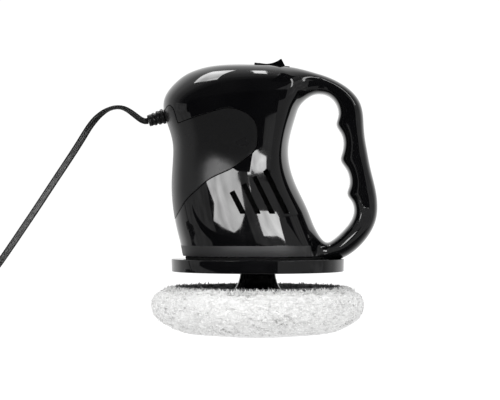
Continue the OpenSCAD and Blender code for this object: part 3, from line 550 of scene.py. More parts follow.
# The satin band's height, and how far towards the handle it runs
BAND_TOP = 65.4
BAND_END = 37.0
# Wall inside each half, between the motor and the vents, as three boxes for the half with y above zero
AIR_GUIDE = (((-22, 24, 82), (0, 26, 130)), ((-2, 12, 82), (0, 26, 130)), ((-2, 12, 82), (27, 14, 130)))
# Where the halves are screwed together: x, z, and how far in from the seam each screw's head sits
JOINT_POSTS = ((-46, 168), (-48, 71), (13, 158), (52, 62), (58.5, 174.4), (75.4, 84))
JOINT_DEPTHS = (10, 10, 10, 6, 6, 6)
DISC_POSTS = ((-40, 14), (-40, -14), (33, 14), (33, -14))
SCREW_HOLE_R, SCREW_HEAD_R, POST_R, FOOT_R = 1.7, 3.0, 4.4, 4.5


def cuboid(name, low, high, place=Matrix.Identity(4)):
    corners = [(x, y, z) for x in (low[0], high[0]) for y in (low[1], high[1]) for z in (low[2], high[2])]
    faces = [(0, 1, 3, 2), (4, 6, 7, 5), (0, 4, 5, 1), (2, 3, 7, 6), (0, 2, 6, 4), (1, 5, 7, 3)]
    return new_piece(name, [place @ Vector(c) for c in corners], faces, smooth=False)


def prism(name, outline, low, high):
    """A solid of an x and z outline, drawn along y."""
    rings = [[(x, y, z) for x, z in outline] for y in (low, high)]
    return outward(new_piece(name, *loft(rings), smooth=False))


def rod(name, start, end, radius, sides=32):
    """A round cutter or boss between two points."""
    start, end = Vector(start), Vector(end)
    turn = (end - start).to_track_quat("Z", "Y")
    ring = [Vector((radius * math.cos(a), radius * math.sin(a), 0)) for a in round_angles(sides)]
    return outward(new_piece(name, *loft([[e + turn @ p for p in ring] for e in (start, end)]), smooth=False))


def outward(obj):
    """Turns a closed mesh's faces to look outwards."""
    with edited(obj) as bm:
        bmesh.ops.recalc_face_normals(bm, faces=bm.faces)
    return obj


def joined(pieces):
    """One mesh from several that don't touch."""
    first, *others = pieces
    with edited(first) as bm:
        for piece in others:
            bm.from_mesh(piece.data)
            remove(piece)
    return first


def section_loops(obj, point, normal):
    """The closed outlines, in millimetres, of a mesh cut by a plane."""
    bm = bmesh.new()
    bm.from_mesh(obj.data)
    cut = bmesh.ops.bisect_plane(
        bm, geom=bm.verts[:] + bm.edges[:] + bm.faces[:], plane_co=Vector(point) * MM, plane_no=normal
    )["geom_cut"]
    linked = {}
    for e in cut:
        if isinstance(e, bmesh.types.BMEdge):
            a, b = e.verts
            linked.setdefault(a, []).append(b)
            linked.setdefault(b, []).append(a)
    loops = []
    while linked:
        at = next(iter(linked))
        loop = []
        while at in linked:
            loop.append(np.array(at.co) / MM)
            ways = [v for v in linked.pop(at) if v in linked]
            if not ways:
                break
            at = ways[0]
        loops.append(np.array(loop))
    bm.free()
    return loops


def even(points, step, closed=False):
    """Points an even step apart along a line of points."""
    points = np.asarray(points, float)
    if closed:
        points = np.vstack([points, points[:1]])
    reach = reach_along(points)
    at = np.linspace(0, reach[-1], max(3, int(round(reach[-1] / step)) + 1))
    if closed:
        at = at[:-1]
    return np.stack([np.interp(at, reach, c) for c in points.T], 1)


def onto_skin(field, points):
    for _ in range(SETTLE_STEPS):
        g = field_gradient(field, points)
        points = points - field(*points.T)[:, None] * g / np.maximum((g**2).sum(1), 0.05)[:, None]
    return points


def lift(outline, side):
    """Points on the housing's skin over an x and z line, on one side; side is -1 for the front."""
    x, z = np.asarray(outline, float).T
    low, high = np.zeros(len(x)), np.full(len(x), 60.0)
    for _ in range(30):
        mid = (low + high) / 2
        inside = housing_field(x, mid, z) < 0
        low, high = np.where(inside, mid, low), np.where(inside, high, mid)
    return np.stack([x, side * low, z], 1)


def groove(name, points, size):
    """A cutter for a V groove in the housing's skin round a loop of points on it."""
    normal = unit(field_gradient(housing_field, points))
    ahead = unit(np.roll(points, -1, 0) - np.roll(points, 1, 0))
    aside = unit(np.cross(normal, ahead))
    rings = np.stack([points + way * size for way in (aside, normal, -aside, -normal)], 1)
    return outward(new_piece(name, *closed_loft(rings)))


def panel_outline():
    """The panel's edge and arch in x and z as one dense line."""
    return np.vstack([smooth_curve(PANEL_EDGE, 0.25)[:-1], smooth_curve(PANEL_ARCH, 0.25)])


def shrink(line, by):
    """Moves an x and z line to its left."""
    ahead = unit(np.gradient(line, axis=0))
    return line + by * np.stack([-ahead[:, 1], ahead[:, 0]], 1)


def panel_loop():
    """The panel's edge on the skin: along the front from nose to nose, and back along the far side."""
    line = panel_outline()
    inside = housing_field(line[:, 0], np.zeros(len(line)), line[:, 1]) < 0
    front = lift(line[inside], -1)
    loop = np.vstack([front, front[::-1] * (1, -1, 1)])
    return onto_skin(housing_field, even(loop, 0.8, closed=True))


def vent_outline(vent):
    """A slanted slot's corners in x and z: a square upper end and a level lower end."""
    top, foot = np.array(vent[:2], float), np.array((vent[2], VENT_BASE))
    along = (foot - top) / np.linalg.norm(foot - top)
    across = np.array((-along[1], along[0])) * (VENT_WIDTH / 2)
    half_foot = across[0] - across[1] * along[0] / along[1]
    return [top + across, top - across, foot - (half_foot, 0), foot + (half_foot, 0)]


def settle_crown(skin):
    """Smooths the small patch on the very top, where the sections shrink to a point."""
    with edited(skin) as bm:
        crown = [v for v in bm.verts if v.co.z > CROWN_Z * MM and abs(v.co.x - CROWN_X * MM) < CROWN_REACH * MM]
        for _ in range(25):
            bmesh.ops.smooth_vert(bm, verts=crown, factor=0.5, use_axis_x=True, use_axis_y=True, use_axis_z=True)


def shade_from_field(obj):
    """Sets the skins' normals from the field, so that reflections run smoothly past every cut."""
    mesh = obj.data
    mesh.set_sharp_from_angle(angle=math.radians(28))
    n = len(mesh.vertices)
    points = np.empty(n * 3)
    mesh.vertices.foreach_get("co", points)
    points = points.reshape(-1, 3) / MM
    value = housing_field(*points.T)
    gradient = field_gradient(housing_field, points)
    gradient /= np.maximum(np.linalg.norm(gradient, axis=1), 1e-6)[:, None]
    loop_vertex = np.empty(len(mesh.loops), int)
    mesh.loops.foreach_get("vertex_index", loop_vertex)
    face_normal = np.array([p.normal[:] for p in mesh.polygons])
    loop_normal = np.repeat(face_normal, [p.loop_total for p in mesh.polygons], axis=0)
    g, v = gradient[loop_vertex], value[loop_vertex]
    facing = (g * loop_normal).sum(1)
    below_crown = points[loop_vertex][:, 2] < CROWN_Z - 0.3
    outer = (np.abs(v) < 0.05) & (facing > 0.9) & below_crown
    inner = (np.abs(v + WALL) < 0.3) & (facing < -0.85)
    normals = np.where(outer[:, None], g, np.where(inner[:, None], -g, 0))
    mesh.normals_split_custom_set(normals.tolist())


def copy_of(obj, name):
    twin = obj.copy()
    twin.data = obj.data.copy()
    twin.name = name
    return link(twin)


def housing_ribs():
    """Webs and bosses inside the shell: two cradles for the motor and posts for the screws."""
    parts = [cuboid("web", (-70, -50, z), (20, 50, z + 2)) for z in (94, 134)]
    parts += [rod("post", (x, -60, z), (x, 60, z), POST_R) for x, z in JOINT_POSTS]
    parts += [rod("foot", (x, y, LIP_Z), (x, y, LIP_Z + 12), FOOT_R) for x, y in DISC_POSTS]
    for low, high in AIR_GUIDE:
        parts.append(cuboid("air_guide", low, high))
        parts.append(cuboid("air_guide", (low[0], -high[1], low[2]), (high[0], -low[1], high[2])))
    ribs = parts[0]
    for part in parts[1:]:
        boolean(ribs, part, "UNION")
    for z in (90, 134):
        boolean(ribs, rod("bore", (MOTOR_X, 0, z), (MOTOR_X, 0, z + 8), MOTOR_BORE_R, 96))
    return ribs


def relief_hole():
    return rod("relief_hole", RELIEF_PLACE @ Vector((0, 0, -8)), RELIEF_PLACE @ Vector((0, 0, 8)), RELIEF_HOLE_R)


def build_housing():
    """The front and back halves and the nose panel."""
    skin = field_skin("skin", lambda x, y, z: np.maximum(housing_field(x, y, z), 52 - z),
                      FIELD_LOW, FIELD_HIGH, SKIN_CELL)
    settle_crown(skin)
    for loop in section_loops(skin, (0, 0, 0), (0, 1, 0)):
        if len(loop) > 100:
            low = loop[:, 2] < 55
            loop = np.where(low[:, None], loop, onto_skin(housing_field, loop))
            boolean(skin, groove("seam_groove", even(loop, 0.8, closed=True), SEAM_GROOVE))
    boolean(skin, groove("panel_groove", panel_loop(), PANEL_GROOVE))
    grooves = []
    for side in (-1, 1):
        for vent in VENTS:
            loop = even(lift(even(vent_outline(vent), 0.5, closed=True), side), 0.5, closed=True)
            grooves.append(groove("vent_groove", loop, VENT_GROOVE))
    boolean(skin, joined(grooves))

    recess = field_skin("recess", lambda x, y, z: np.maximum.reduce([housing_field(x, y, z), 60 - z, x - 8, z - 170]),
                        FIELD_LOW, (12, 47, 175), CUT_CELL, level=-PANEL_THICK)
    line = panel_outline()
    closing = [(-95, line[-1][1]), (-95, line[0][1])]
    panel = copy_of(skin, "panel")
    boolean(panel, prism("panel_shape", np.vstack([shrink(line, PANEL_GAP), closing]), -60, 60), "INTERSECT")
    boolean(panel, recess, keep_cutter=True)
    boolean(panel, relief_hole())

    bed = prism("panel_bed", np.vstack([line, closing]), -60, 60)
    boolean(bed, recess)
    boolean(skin, bed)
    lip = field_skin("lip", lambda x, y, z: np.maximum.reduce([housing_field(x, y, z), 50 - z, z - 59]),
                     (-70, -47, 47), (88, 47, 62), CUT_CELL, level=-LIP_INSET)
    step = cuboid("step", (-100, -60, 40), (46, 60, BODY_BASE))
    boolean(step, lip)
    boolean(skin, step)
    boolean(skin, cuboid("below", (-100, -60, 40), (100, 60, LIP_Z)))

    inner = field_skin("inner", lambda x, y, z: np.maximum(housing_field(x, y, z), 46 - z),
                       (-70, -47, 43), FIELD_HIGH, INNER_CELL, level=-WALL)
    boolean(inner, housing_ribs())
    boolean(skin, inner)

    boolean(skin, joined([prism("vent", vent_outline(vent), *ends)
                          for vent, start in zip(VENTS, VENT_STARTS) for ends in ((-60, -start), (start, 60))]))
    seat = cuboid("seat", (-SWITCH_LONG / 2 - 0.3, -SWITCH_WIDE / 2 - 0.3, 0),
                  (SWITCH_LONG / 2 + 0.3, SWITCH_WIDE / 2 + 0.3, 8), SWITCH_PLACE)
    hole = cuboid("hole", (-SWITCH_LONG / 2 + 1, -SWITCH_WIDE / 2 + 1, -12),
                  (SWITCH_LONG / 2 - 1, SWITCH_WIDE / 2 - 1, 8), SWITCH_PLACE)
    boolean(skin, seat)
    boolean(skin, hole)
    boolean(skin, relief_hole())
    posts = list(zip(JOINT_POSTS, JOINT_DEPTHS))
    boolean(skin, joined([rod("hole", (x, -deep - 2, z), (x, deep + 1, z), SCREW_HOLE_R, 24)
                          for (x, z), deep in posts]))
    boolean(skin, joined([rod("head", (x, deep, z), (x, 60, z), SCREW_HEAD_R) for (x, z), deep in posts]))

    front = copy_of(skin, "housing_front_half")
    boolean(front, cuboid("keep_front", (-100, -SEAM_GAP / 2, 0), (120, 80, 250)))
    boolean(skin, cuboid("keep_back", (-100, -80, 0), (120, SEAM_GAP / 2, 250)))
    skin.name = "housing_back_half"
    for piece in (front, skin, panel):
        shade_from_field(piece)
    return front, skin, panel


# ---- Materials ----


RANGE_SOCKETS = ("From Min", "From Max", "To Min", "To Max")


class Tree:
    """The nodes of a material or world under construction."""

    def __init__(self, owner):
        owner.use_nodes = True
        self.tree = owner.node_tree

    def node(self, kind, **values):
        n = self.tree.nodes.new(kind)
        for key, value in values.items():
            setattr(n, key, value)
        return n

    def feed(self, source, socket):
        self.tree.links.new(source, socket)

    def spread(self, source, low, high, start=0.35, end=0.65):
        """Maps a texture's middle range to values."""
        n = self.node("ShaderNodeMapRange")
        for socket, value in zip(RANGE_SOCKETS, (start, end, low, high)):
            n.inputs[socket].default_value = value
        self.feed(source, n.inputs["Value"])
        return n.outputs["Result"]


class Maker(Tree):
    """A material under construction: a Principled shader and the nodes that feed it."""

    def __init__(self, name, color, roughness, metallic=0.0, **sockets):
        self.material = bpy.data.materials.new(name)
        super().__init__(self.material)
        self.shader = self.tree.nodes["Principled BSDF"]
        self.shader.inputs["Base Color"].default_value = (*color, 1)
        self.shader.inputs["Roughness"].default_value = roughness
        self.shader.inputs["Metallic"].default_value = metallic
        for socket, value in sockets.items():
            self.shader.inputs[socket.replace("_", " ").title().replace("Ior", "IOR")].default_value = value
        self.place = self.tree.nodes.new("ShaderNodeTexCoord").outputs["Object"]
        self.last_bump = None

    def noise(self, scale, detail=4.0, stretch=(1, 1, 1), distortion=0.0):
        """Noise with scale cells to the metre along each axis of the row frame."""
        mapping = self.node("ShaderNodeMapping")
        mapping.inputs["Scale"].default_value = stretch
        self.feed(self.place, mapping.inputs["Vector"])
        n = self.node("ShaderNodeTexNoise")
        n.inputs["Scale"].default_value = scale
        n.inputs["Detail"].default_value = detail
        n.inputs["Distortion"].default_value = distortion
        self.feed(mapping.outputs["Vector"], n.inputs["Vector"])
        return n.outputs["Fac"]

    def cells(self, scale):
        n = self.node("ShaderNodeTexVoronoi")
        n.inputs["Scale"].default_value = scale
        self.feed(self.place, n.inputs["Vector"])
        return n.outputs["Distance"]

    def vary_roughness(self, source, low, high, start=0.35, end=0.65):
        self.feed(self.spread(source, low, high, start, end), self.shader.inputs["Roughness"])
        return self

    def vary_color(self, source, one, other, start=0.35, end=0.65):
        n = self.node("ShaderNodeMix", data_type="RGBA")
        n.inputs["A"].default_value = (*one, 1)
        n.inputs["B"].default_value = (*other, 1)
        self.feed(self.spread(source, 0, 1, start, end), n.inputs["Factor"])
        self.feed(n.outputs["Result"], self.shader.inputs["Base Color"])
        return self

    def bump(self, source, height, strength=1.0):
        """Relief of a height in metres."""
        n = self.node("ShaderNodeBump")
        n.inputs["Strength"].default_value = strength
        n.inputs["Distance"].default_value = height
        self.feed(source, n.inputs["Height"])
        if self.last_bump:
            self.feed(self.last_bump, n.inputs["Normal"])
        self.last_bump = n.outputs["Normal"]
        self.feed(self.last_bump, self.shader.inputs["Normal"])
        return self


def gloss_black(name="gloss_black"):
    """Polished black moulding, with a slight wave in its skin and faint handling marks."""
    m = Maker(name, (0.003, 0.003, 0.0035), 0.07, ior=1.5)
    m.vary_roughness(m.noise(90, 6, distortion=0.6), 0.035, 0.1, 0.4, 0.75)
    m.vary_color(m.noise(30), (0.0025, 0.0025, 0.003), (0.004, 0.004, 0.0045))
    m.bump(m.noise(140, 1), 0.000012)
    return m


def moulded_inside():
    """The housing's unpolished inner face."""
    m = Maker("moulded_inside", (0.004, 0.004, 0.0042), 0.85, specular_ior_level=0.15)
    m.vary_color(m.noise(500, 4), (0.003, 0.003, 0.0032), (0.006, 0.006, 0.0063))
    m.bump(m.noise(1600, 3), 0.00004, 0.5)
    return m.material


def satin_base(m):
    """A satin band round the foot of the housing, up to BAND_TOP and as far as the handle's foot."""
    axis = m.node("ShaderNodeSeparateXYZ")
    m.feed(m.place, axis.inputs[0])
    low = m.spread(axis.outputs["Z"], 1, 0, (BAND_TOP - 0.3) * MM, (BAND_TOP + 0.3) * MM)
    left = m.spread(axis.outputs["X"], 1, 0, (BAND_END - 1) * MM, (BAND_END + 1) * MM)
    band = m.node("ShaderNodeMath", operation="MULTIPLY")
    m.feed(low, band.inputs[0])
    m.feed(left, band.inputs[1])
    for socket, value in (("Roughness", 0.48), ("Base Color", (0.014, 0.014, 0.015, 1))):
        target = m.shader.inputs[socket]
        was = target.links[0].from_socket
        n = m.node("ShaderNodeMix", data_type="FLOAT" if socket == "Roughness" else "RGBA")
        a, b = (n.inputs[2], n.inputs[3]) if socket == "Roughness" else (n.inputs["A"], n.inputs["B"])
        b.default_value = value
        m.feed(band.outputs[0], n.inputs["Factor"])
        m.feed(was, a)
        m.feed(n.outputs["Result"] if socket == "Roughness" else n.outputs[2], target)
    return m


def matt_black():
    """Soft-touch panel with a fine spark-eroded grain."""
    m = Maker("matt_black", (0.01, 0.01, 0.011), 0.3, ior=1.45, specular_ior_level=0.35)
    m.vary_color(m.noise(1500, 2), (0.009, 0.009, 0.0095), (0.014, 0.014, 0.0145))
    m.vary_roughness(m.noise(50, 5), 0.27, 0.33)
    m.bump(m.noise(2600, 2), 0.00003, 0.6)
    return m.material


def black_moulding():
    m = Maker("black_moulding", (0.014, 0.014, 0.015), 0.4)
    m.vary_color(m.noise(400, 4), (0.006, 0.006, 0.0065), (0.011, 0.011, 0.0115))
    m.vary_roughness(m.noise(120, 5), 0.3, 0.48)
    m.bump(m.noise(1800, 2), 0.00004, 0.5)
    return m.material


def flexible(name, dark, light, roughness=0.38):
    """PVC of a lead or cord: slightly waxy, with faint drawing lines."""
    m = Maker(name, dark, roughness)
    m.vary_color(m.noise(160, 5), dark, light)
    m.vary_roughness(m.noise(300, 4), roughness - 0.08, roughness + 0.1)
    m.bump(m.noise(900, 2), 0.000015, 0.4)
    return m.material


def worked_metal(name, one, other, low, high, stretch=(1, 1, 12), grain=700, relief=0.000015):
    """Metal with tool marks drawn out along one axis, and patches of duller film."""
    m = Maker(name, one, low, 1.0)
    m.vary_color(m.noise(180, 6), one, other)
    m.vary_roughness(m.noise(60, 5, distortion=0.4), low, high)
    m.bump(m.noise(grain, 3, stretch), relief, 0.6)
    return m.material


def die_cast():
    m = Maker("die_cast", (0.5, 0.51, 0.52), 0.5, 1.0)
    m.vary_color(m.noise(90, 6), (0.42, 0.43, 0.45), (0.58, 0.59, 0.6))
    m.vary_roughness(m.noise(200, 4), 0.42, 0.6)
    m.bump(m.noise(900, 4), 0.00008, 0.5)
    m.bump(m.cells(240), 0.00006, 0.4)
    return m.material


def copper():
    """Enamelled magnet wire, laid in fine turns."""
    m = Maker("copper", (0.7, 0.3, 0.13), 0.28, 1.0, coat_weight=0.6, coat_roughness=0.15)
    m.vary_color(m.noise(500, 4, (6, 6, 1)), (0.58, 0.22, 0.09), (0.8, 0.38, 0.18))
    m.bump(m.noise(1400, 1, (9, 9, 1)), 0.00012)
    return m.material


def ferrite():
    m = Maker("ferrite", (0.05, 0.05, 0.053), 0.62)
    m.vary_color(m.noise(700, 5), (0.035, 0.035, 0.038), (0.075, 0.075, 0.08))
    m.bump(m.noise(1500, 4), 0.00006, 0.6)
    return m.material


def natural_nylon():
    m = Maker("natural_nylon", (0.8, 0.76, 0.66), 0.42, subsurface_weight=0.15, subsurface_scale=0.002)
    m.vary_color(m.noise(80, 5), (0.76, 0.71, 0.6), (0.84, 0.81, 0.73))
    m.vary_roughness(m.noise(400, 3), 0.36, 0.5)
    m.bump(m.noise(1600, 2), 0.00003, 0.5)
    return m.material


def foam():
    """Open-cell foam: a grey sponge, with painted shade darkening its pores."""
    m = Maker("foam", (0.03, 0.03, 0.033), 0.9, sheen_weight=0.2)
    # Painted shade: darkest in the pits of the cell bump below, where the pores are
    m.vary_color(m.cells(650), (0.006, 0.006, 0.007), (0.05, 0.05, 0.055), 0.05, 0.5)
    m.bump(m.cells(650), 0.0006)
    m.bump(m.noise(1800, 3), 0.0002)
    return m.material


def fleece(name="fleece", one=(0.78, 0.78, 0.77), other=(0.95, 0.95, 0.945)):
    """Plush pile: soft and matt, with painted shade that makes it a little darker between the tufts."""
    m = Maker(name, one, 0.95, sheen_weight=0.25, sheen_roughness=0.6)
    # Painted shade: the colour follows the same noise as the relief below, darkest where the pile sinks between tufts
    m.vary_color(m.noise(260, 7, (1, 1, 1.7), 2.2), one, other, 0.3, 0.5)
    m.bump(m.noise(260, 7, (1, 1, 1.7), 2.2), 0.0022, 0.9)
    m.bump(m.noise(1500, 4), 0.0003, 0.6)
    return m.material


MATERIALS = {
    "gloss_black": gloss_black().material,
    "matt_black": matt_black(),
    "black_moulding": black_moulding(),
    "cord_black": flexible("cord_black", (0.005, 0.005, 0.005), (0.009, 0.009, 0.009), 0.45),
    "red_pvc": flexible("red_pvc", (0.42, 0.012, 0.012), (0.55, 0.03, 0.025)),
    "black_pvc": flexible("black_pvc", (0.012, 0.012, 0.012), (0.022, 0.022, 0.022)),
    "blackened_steel": worked_metal("blackened_steel", (0.05, 0.05, 0.053), (0.1, 0.1, 0.105), 0.35, 0.5),
    "bright_steel": worked_metal("bright_steel", (0.56, 0.56, 0.58), (0.68, 0.68, 0.7), 0.16, 0.3),
    "zinc_steel": worked_metal("zinc_steel", (0.46, 0.47, 0.5), (0.6, 0.61, 0.62), 0.28, 0.42,
                               (1, 1, 1), 320, 0.00003),
    "die_cast": die_cast(),
    "brass": worked_metal("brass", (0.62, 0.43, 0.16), (0.78, 0.6, 0.28), 0.22, 0.4),
    "copper": copper(),
    "ferrite": ferrite(),
    "natural_nylon": natural_nylon(),
    "foam": foam(),
    "fleece": fleece(),
}
for part in frame["record"]["subparts"]:
    mesh = CAD[part["node"]].data
    mesh.materials.clear()
    mesh.materials.append(MATERIALS[part["material_slot"]])


# ---- Turned parts ----


def fillet(outline, radius, steps=4):
    """A closed outline of [radius, height] points with its corners rounded."""
    outline = np.asarray(outline, float)
    points = []
    for k, corner in enumerate(outline):
        before, after = outline[k - 1] - corner, outline[(k + 1) % len(outline)] - corner
        a, b = np.linalg.norm(before), np.linalg.norm(after)
        reach = min(radius, 0.45 * a, 0.45 * b)
        start, end = corner + before / a * reach, corner + after / b * reach
        for t in np.linspace(0, 1, steps + 1):
            points.append((1 - t) ** 2 * start + 2 * t * (1 - t) * corner + t**2 * end)
    return points


def turned(name, outline, radius=0.4, sides=192, steps=4):
    """A ring with a closed, rounded section turned round the spin axis."""
    rounded = fillet(outline, radius, steps)
    rings = [[(r * math.cos(t), r * math.sin(t), h) for r, h in rounded] for t in round_angles(sides)]
    return outward(new_piece(name, *closed_loft(rings)))


def soften(obj, width, degrees=40, segments=2):
    """Rounds a piece's sharp edges by a width in millimetres."""
    m = obj.modifiers.new("soft_edges", "BEVEL")
    m.width = width * MM
    m.segments = segments
    m.limit_method = "ANGLE"
    m.angle_limit = math.radians(degrees)
    m.use_clamp_overlap = True
    return obj


def circle_points(radius, start, step):
    """Places in x and y round a circle, a step in degrees apart."""
    turns = np.radians(start + step * np.arange(round(360 / step)))
    return [(radius * math.cos(a), radius * math.sin(a)) for a in turns]


def drill(obj, places, low, high, radius=SCREW_HOLE_R, sides=24):
    """Cuts round holes along z at places in x and y."""
    boolean(obj, joined([rod("hole", (x, y, low), (x, y, high), radius, sides) for x, y in places]))


DISC_R = 61.3
DISC_LOW, DISC_HIGH = 46.7, 55.7
DISC_PLATE = 3.0
HUB_HOLE = 13.4
CASE_SCREWS = circle_points(18, 22.5, 90)
HUB_SCREWS = circle_points(18, 45, 90)


def build_disc():
    """The guard disc: a flat dish with a rim, a collar round the hub and ribs between them."""
    plate = DISC_HIGH - DISC_PLATE
    disc = turned("guard_disc", [
        (HUB_HOLE, DISC_LOW), (HUB_HOLE + 1.7, DISC_LOW), (HUB_HOLE + 1.7, plate), (DISC_R - 3, plate),
        (DISC_R - 2.7, DISC_LOW), (DISC_R - 0.25, DISC_LOW), (DISC_R, DISC_HIGH), (HUB_HOLE, DISC_HIGH),
    ], 0.55, 256)
    ribs = []
    for k in range(8):
        turn = Matrix.Rotation(math.radians(45 * k), 4, "Z")
        ribs.append(cuboid("rib", (HUB_HOLE + 1, -0.9, DISC_LOW + 1), (DISC_R - 2, 0.9, plate + 0.5), turn))
    boolean(disc, joined(ribs), "UNION")
    drill(disc, CASE_SCREWS + list(DISC_POSTS), 40, 60)
    return sharpen(disc, 30)


HUB_OUTLINE = [
    (7, 29), (24, 29), (24, 30.4), (20.6, 31.2), (18.2, 32.4), (16.8, 33.7), (15.2, 36), (14, 38.6),
    (13.1, 41.6), (12.6, 44.4), (12.4, 47), (12.4, 49.4), (11.8, 50), (4, 50), (4, 32.5), (7, 32.5),
]
PLATE_R, PLATE_LOW, PLATE_HIGH = 65.2, 24.0, 29.0


def build_hub():
    """The drive hub: a trumpet with a bolted foot."""
    hub = turned("drive_trumpet", HUB_OUTLINE, 0.5, 160)
    drill(hub, HUB_SCREWS, 26, 31.6)
    return sharpen(hub, 32)


def build_plate():
    """The backing plate, with round pockets in its top and holes for the hub's screws."""
    section = [(8, PLATE_LOW), (PLATE_R, PLATE_LOW), (PLATE_R, PLATE_HIGH), (8, PLATE_HIGH)]
    plate = turned("pad_plate", section, 0.8, 192)
    drill(plate, circle_points(43, 22.5, 45), PLATE_LOW + 3, PLATE_HIGH + 2, 9.9, 48)
    drill(plate, HUB_SCREWS, PLATE_LOW - 1, PLATE_LOW + 2.6, 3.3, 32)
    drill(plate, HUB_SCREWS, PLATE_LOW - 1, PLATE_HIGH + 1, sides=32)
    return sharpen(plate, 32)


# ---- Soft parts: foam pad, fleece bonnet and its gathered hem ----

PAD_R, PAD_LOW = 66.0, 7.0
BONNET_R, BONNET_WIDEST = 75.0, 21.0
RIM_R, HEM_R = 60.0, 57.2
RIM_CREST = 34.4


def cell_number(cells, seed):
    """A steady whole number for each cell of a grid."""
    x, y, z = cells.T
    return (x * 73856093) ^ (y * 19349663) ^ (z * 83492791) ^ (seed * 2654435761)


def scrambled(number):
    return (number ^ (number >> 13)) * 1274126177 & 0x7FFFFFFF


def lattice_noise(points, cell, seed):
    """Smooth noise from 0 to 1 with a cell size in millimetres."""
    p = np.asarray(points, float) / cell
    base = np.floor(p).astype(np.int64)
    f = p - base
    f = f * f * (3 - 2 * f)
    total = np.zeros(len(p))
    for corner in BOX_CORNERS:
        h = scrambled(cell_number(base + corner, seed))
        weight = np.prod(np.where(corner, f, 1 - f), 1)
        total += weight * (h & 0xFFFF) / 0xFFFF
    return total


def tuft_relief(points, cell, seed):
    """Rounded tufts: 1 at the middle of each cell and 0 where cells meet."""
    p = np.asarray(points, float) / cell
    base = np.floor(p).astype(np.int64)
    nearest = np.full(len(p), 9.0)
    for shift in np.ndindex(3, 3, 3):
        c = base + np.array(shift) - 1
        h = cell_number(c, seed)
        spots = []
        for _ in range(3):
            h = scrambled(h)
            spots.append((h & 0xFFFF) / 0xFFFF)
        nearest = np.minimum(nearest, ((c + np.stack(spots, 1) - p) ** 2).sum(1))
    return np.clip(1 - nearest / 0.55, 0, 1)


def bonnet_section():
    """The fleece's outer outline from the middle of its face, round the edge and over the rolled rim."""
    lower = [(0.5, 0.15), (18, 0.4), (34, 1.7), (48, 3.3), (57, 5.5), (64, 8.6), (69.8, 12.4), (73.6, 16.5)]
    upper = [(75, 22), (74.9, 25), (74, 28), (72, 30.4), (69, 32.2), (65, 33.8), (61, 34.5), (58.8, 34.1),
             (57.8, 32.8)]
    return [*smooth_curve(lower + upper, 1.2), (HEM_R + 0.6, PLATE_HIGH + 0.8)]


def turn_points(section, sides):
    """Rows of points from turning a section of radius and height round the spin axis."""
    a = round_angles(sides)
    return np.stack([np.outer(section[:, 0], np.cos(a)), np.outer(section[:, 0], np.sin(a)),
                     np.repeat(section[:, 1:2], sides, 1)], -1)


def tufts(roots, ways, lengths, widths, rng, sides=4, bends=3):
    """Small curved locks of pile, each a thin tapered tube from its root."""
    n = len(roots)
    ways = unit(ways)
    side = unit(np.cross(ways, rng.normal(size=(n, 3))))
    over = np.cross(ways, side)
    curl = rng.uniform(-0.55, 0.55, n)
    rings = []
    for k in range(bends + 1):
        t = k / bends
        middle = roots + ways * (lengths * t)[:, None] + side * (lengths * curl * t * t)[:, None]
        radius = widths * (1 - 0.93 * t**1.4) * (1 + 0.25 * math.sin(math.pi * t))
        spin = round_angles(sides) + t
        rings.append(middle[:, None] + radius[:, None, None] * (
            np.cos(spin)[None, :, None] * over[:, None] + np.sin(spin)[None, :, None] * side[:, None]))
    verts = np.stack(rings, 1).reshape(-1, 3)
    per = (bends + 1) * sides
    faces = []
    for k in range(bends):
        for s in range(sides):
            e = (s + 1) % sides
            faces.append((k * sides + s, k * sides + e, (k + 1) * sides + e, (k + 1) * sides + s))
    faces = [[tuple(v + per * m for v in f) for f in faces] for m in range(n)]
    caps = [(tuple(per * m + s for s in range(sides - 1, -1, -1)),
             tuple(per * m + per - sides + s for s in range(sides))) for m in range(n)]
    return verts, [f for lot in faces for f in lot] + [f for pair in caps for f in pair]


def with_more(verts, faces, more, lot):
    """A mesh's vertices and faces with another's added."""
    return np.vstack([verts, more]), faces + [tuple(v + len(verts) for v in f) for f in lot]


def build_bonnet():
    """The fleece: a thick round skin of curly pile, ragged where it rolls over the rim."""
    rng = np.random.default_rng(SEED)
    section = even(bonnet_section(), 1.15)
    sides = 400
    grid = turn_points(section, sides)
    rings = len(section)
    tangent = np.gradient(section, axis=0)
    out = unit(np.stack([tangent[:, 1], -tangent[:, 0]], 1))
    normal = turn_points(out, sides).reshape(-1, 3)
    p = grid.reshape(-1, 3)
    reach = np.repeat(reach_along(section), sides)
    swirl = p + 2.2 * np.stack([lattice_noise(p, 5, SEED + k) - 0.5 for k in range(3)], 1)
    relief = 1.7 * tuft_relief(swirl * (1, 1, 1.5), 3.8, SEED)
    relief = relief + 0.5 * lattice_noise(p, 1.7, SEED + 5) + 1.3 * lattice_noise(p, 13, SEED + 9)
    flat = np.clip((reach - 30) / 25, 0.12, 1)
    rim = np.clip((reach - reach[-1] + 16) / 10, 0, 1)
    move = (relief - 1.9) * flat * (1 + 0.5 * rim)
    move += rim * 1.2 * (lattice_noise(p, 6, SEED + 20) - 0.5)
    p = p + normal * move[:, None]
    p[:, 2] = np.maximum(p[:, 2], 0.05)
    inner = turn_points(np.array([(HEM_R + 0.6, PLATE_HIGH + 0.4), (PAD_R + 0.5, PLATE_HIGH + 0.4),
                                  (PAD_R + 0.5, PAD_LOW + 9), (PAD_R - 9, PAD_LOW + 2), (0.5, PAD_LOW - 0.3)]), sides)
    rows = np.concatenate([p.reshape(rings, sides, 3), inner])
    verts, faces = loft(rows)
    for more, lot in (rim_locks(rng), side_curls(rng, section, out, reach)):
        more[:, 2] = np.maximum(more[:, 2], 0.1)
        verts, faces = with_more(verts, faces, more, lot)
    return new_piece("fleece_bonnet", verts, faces)


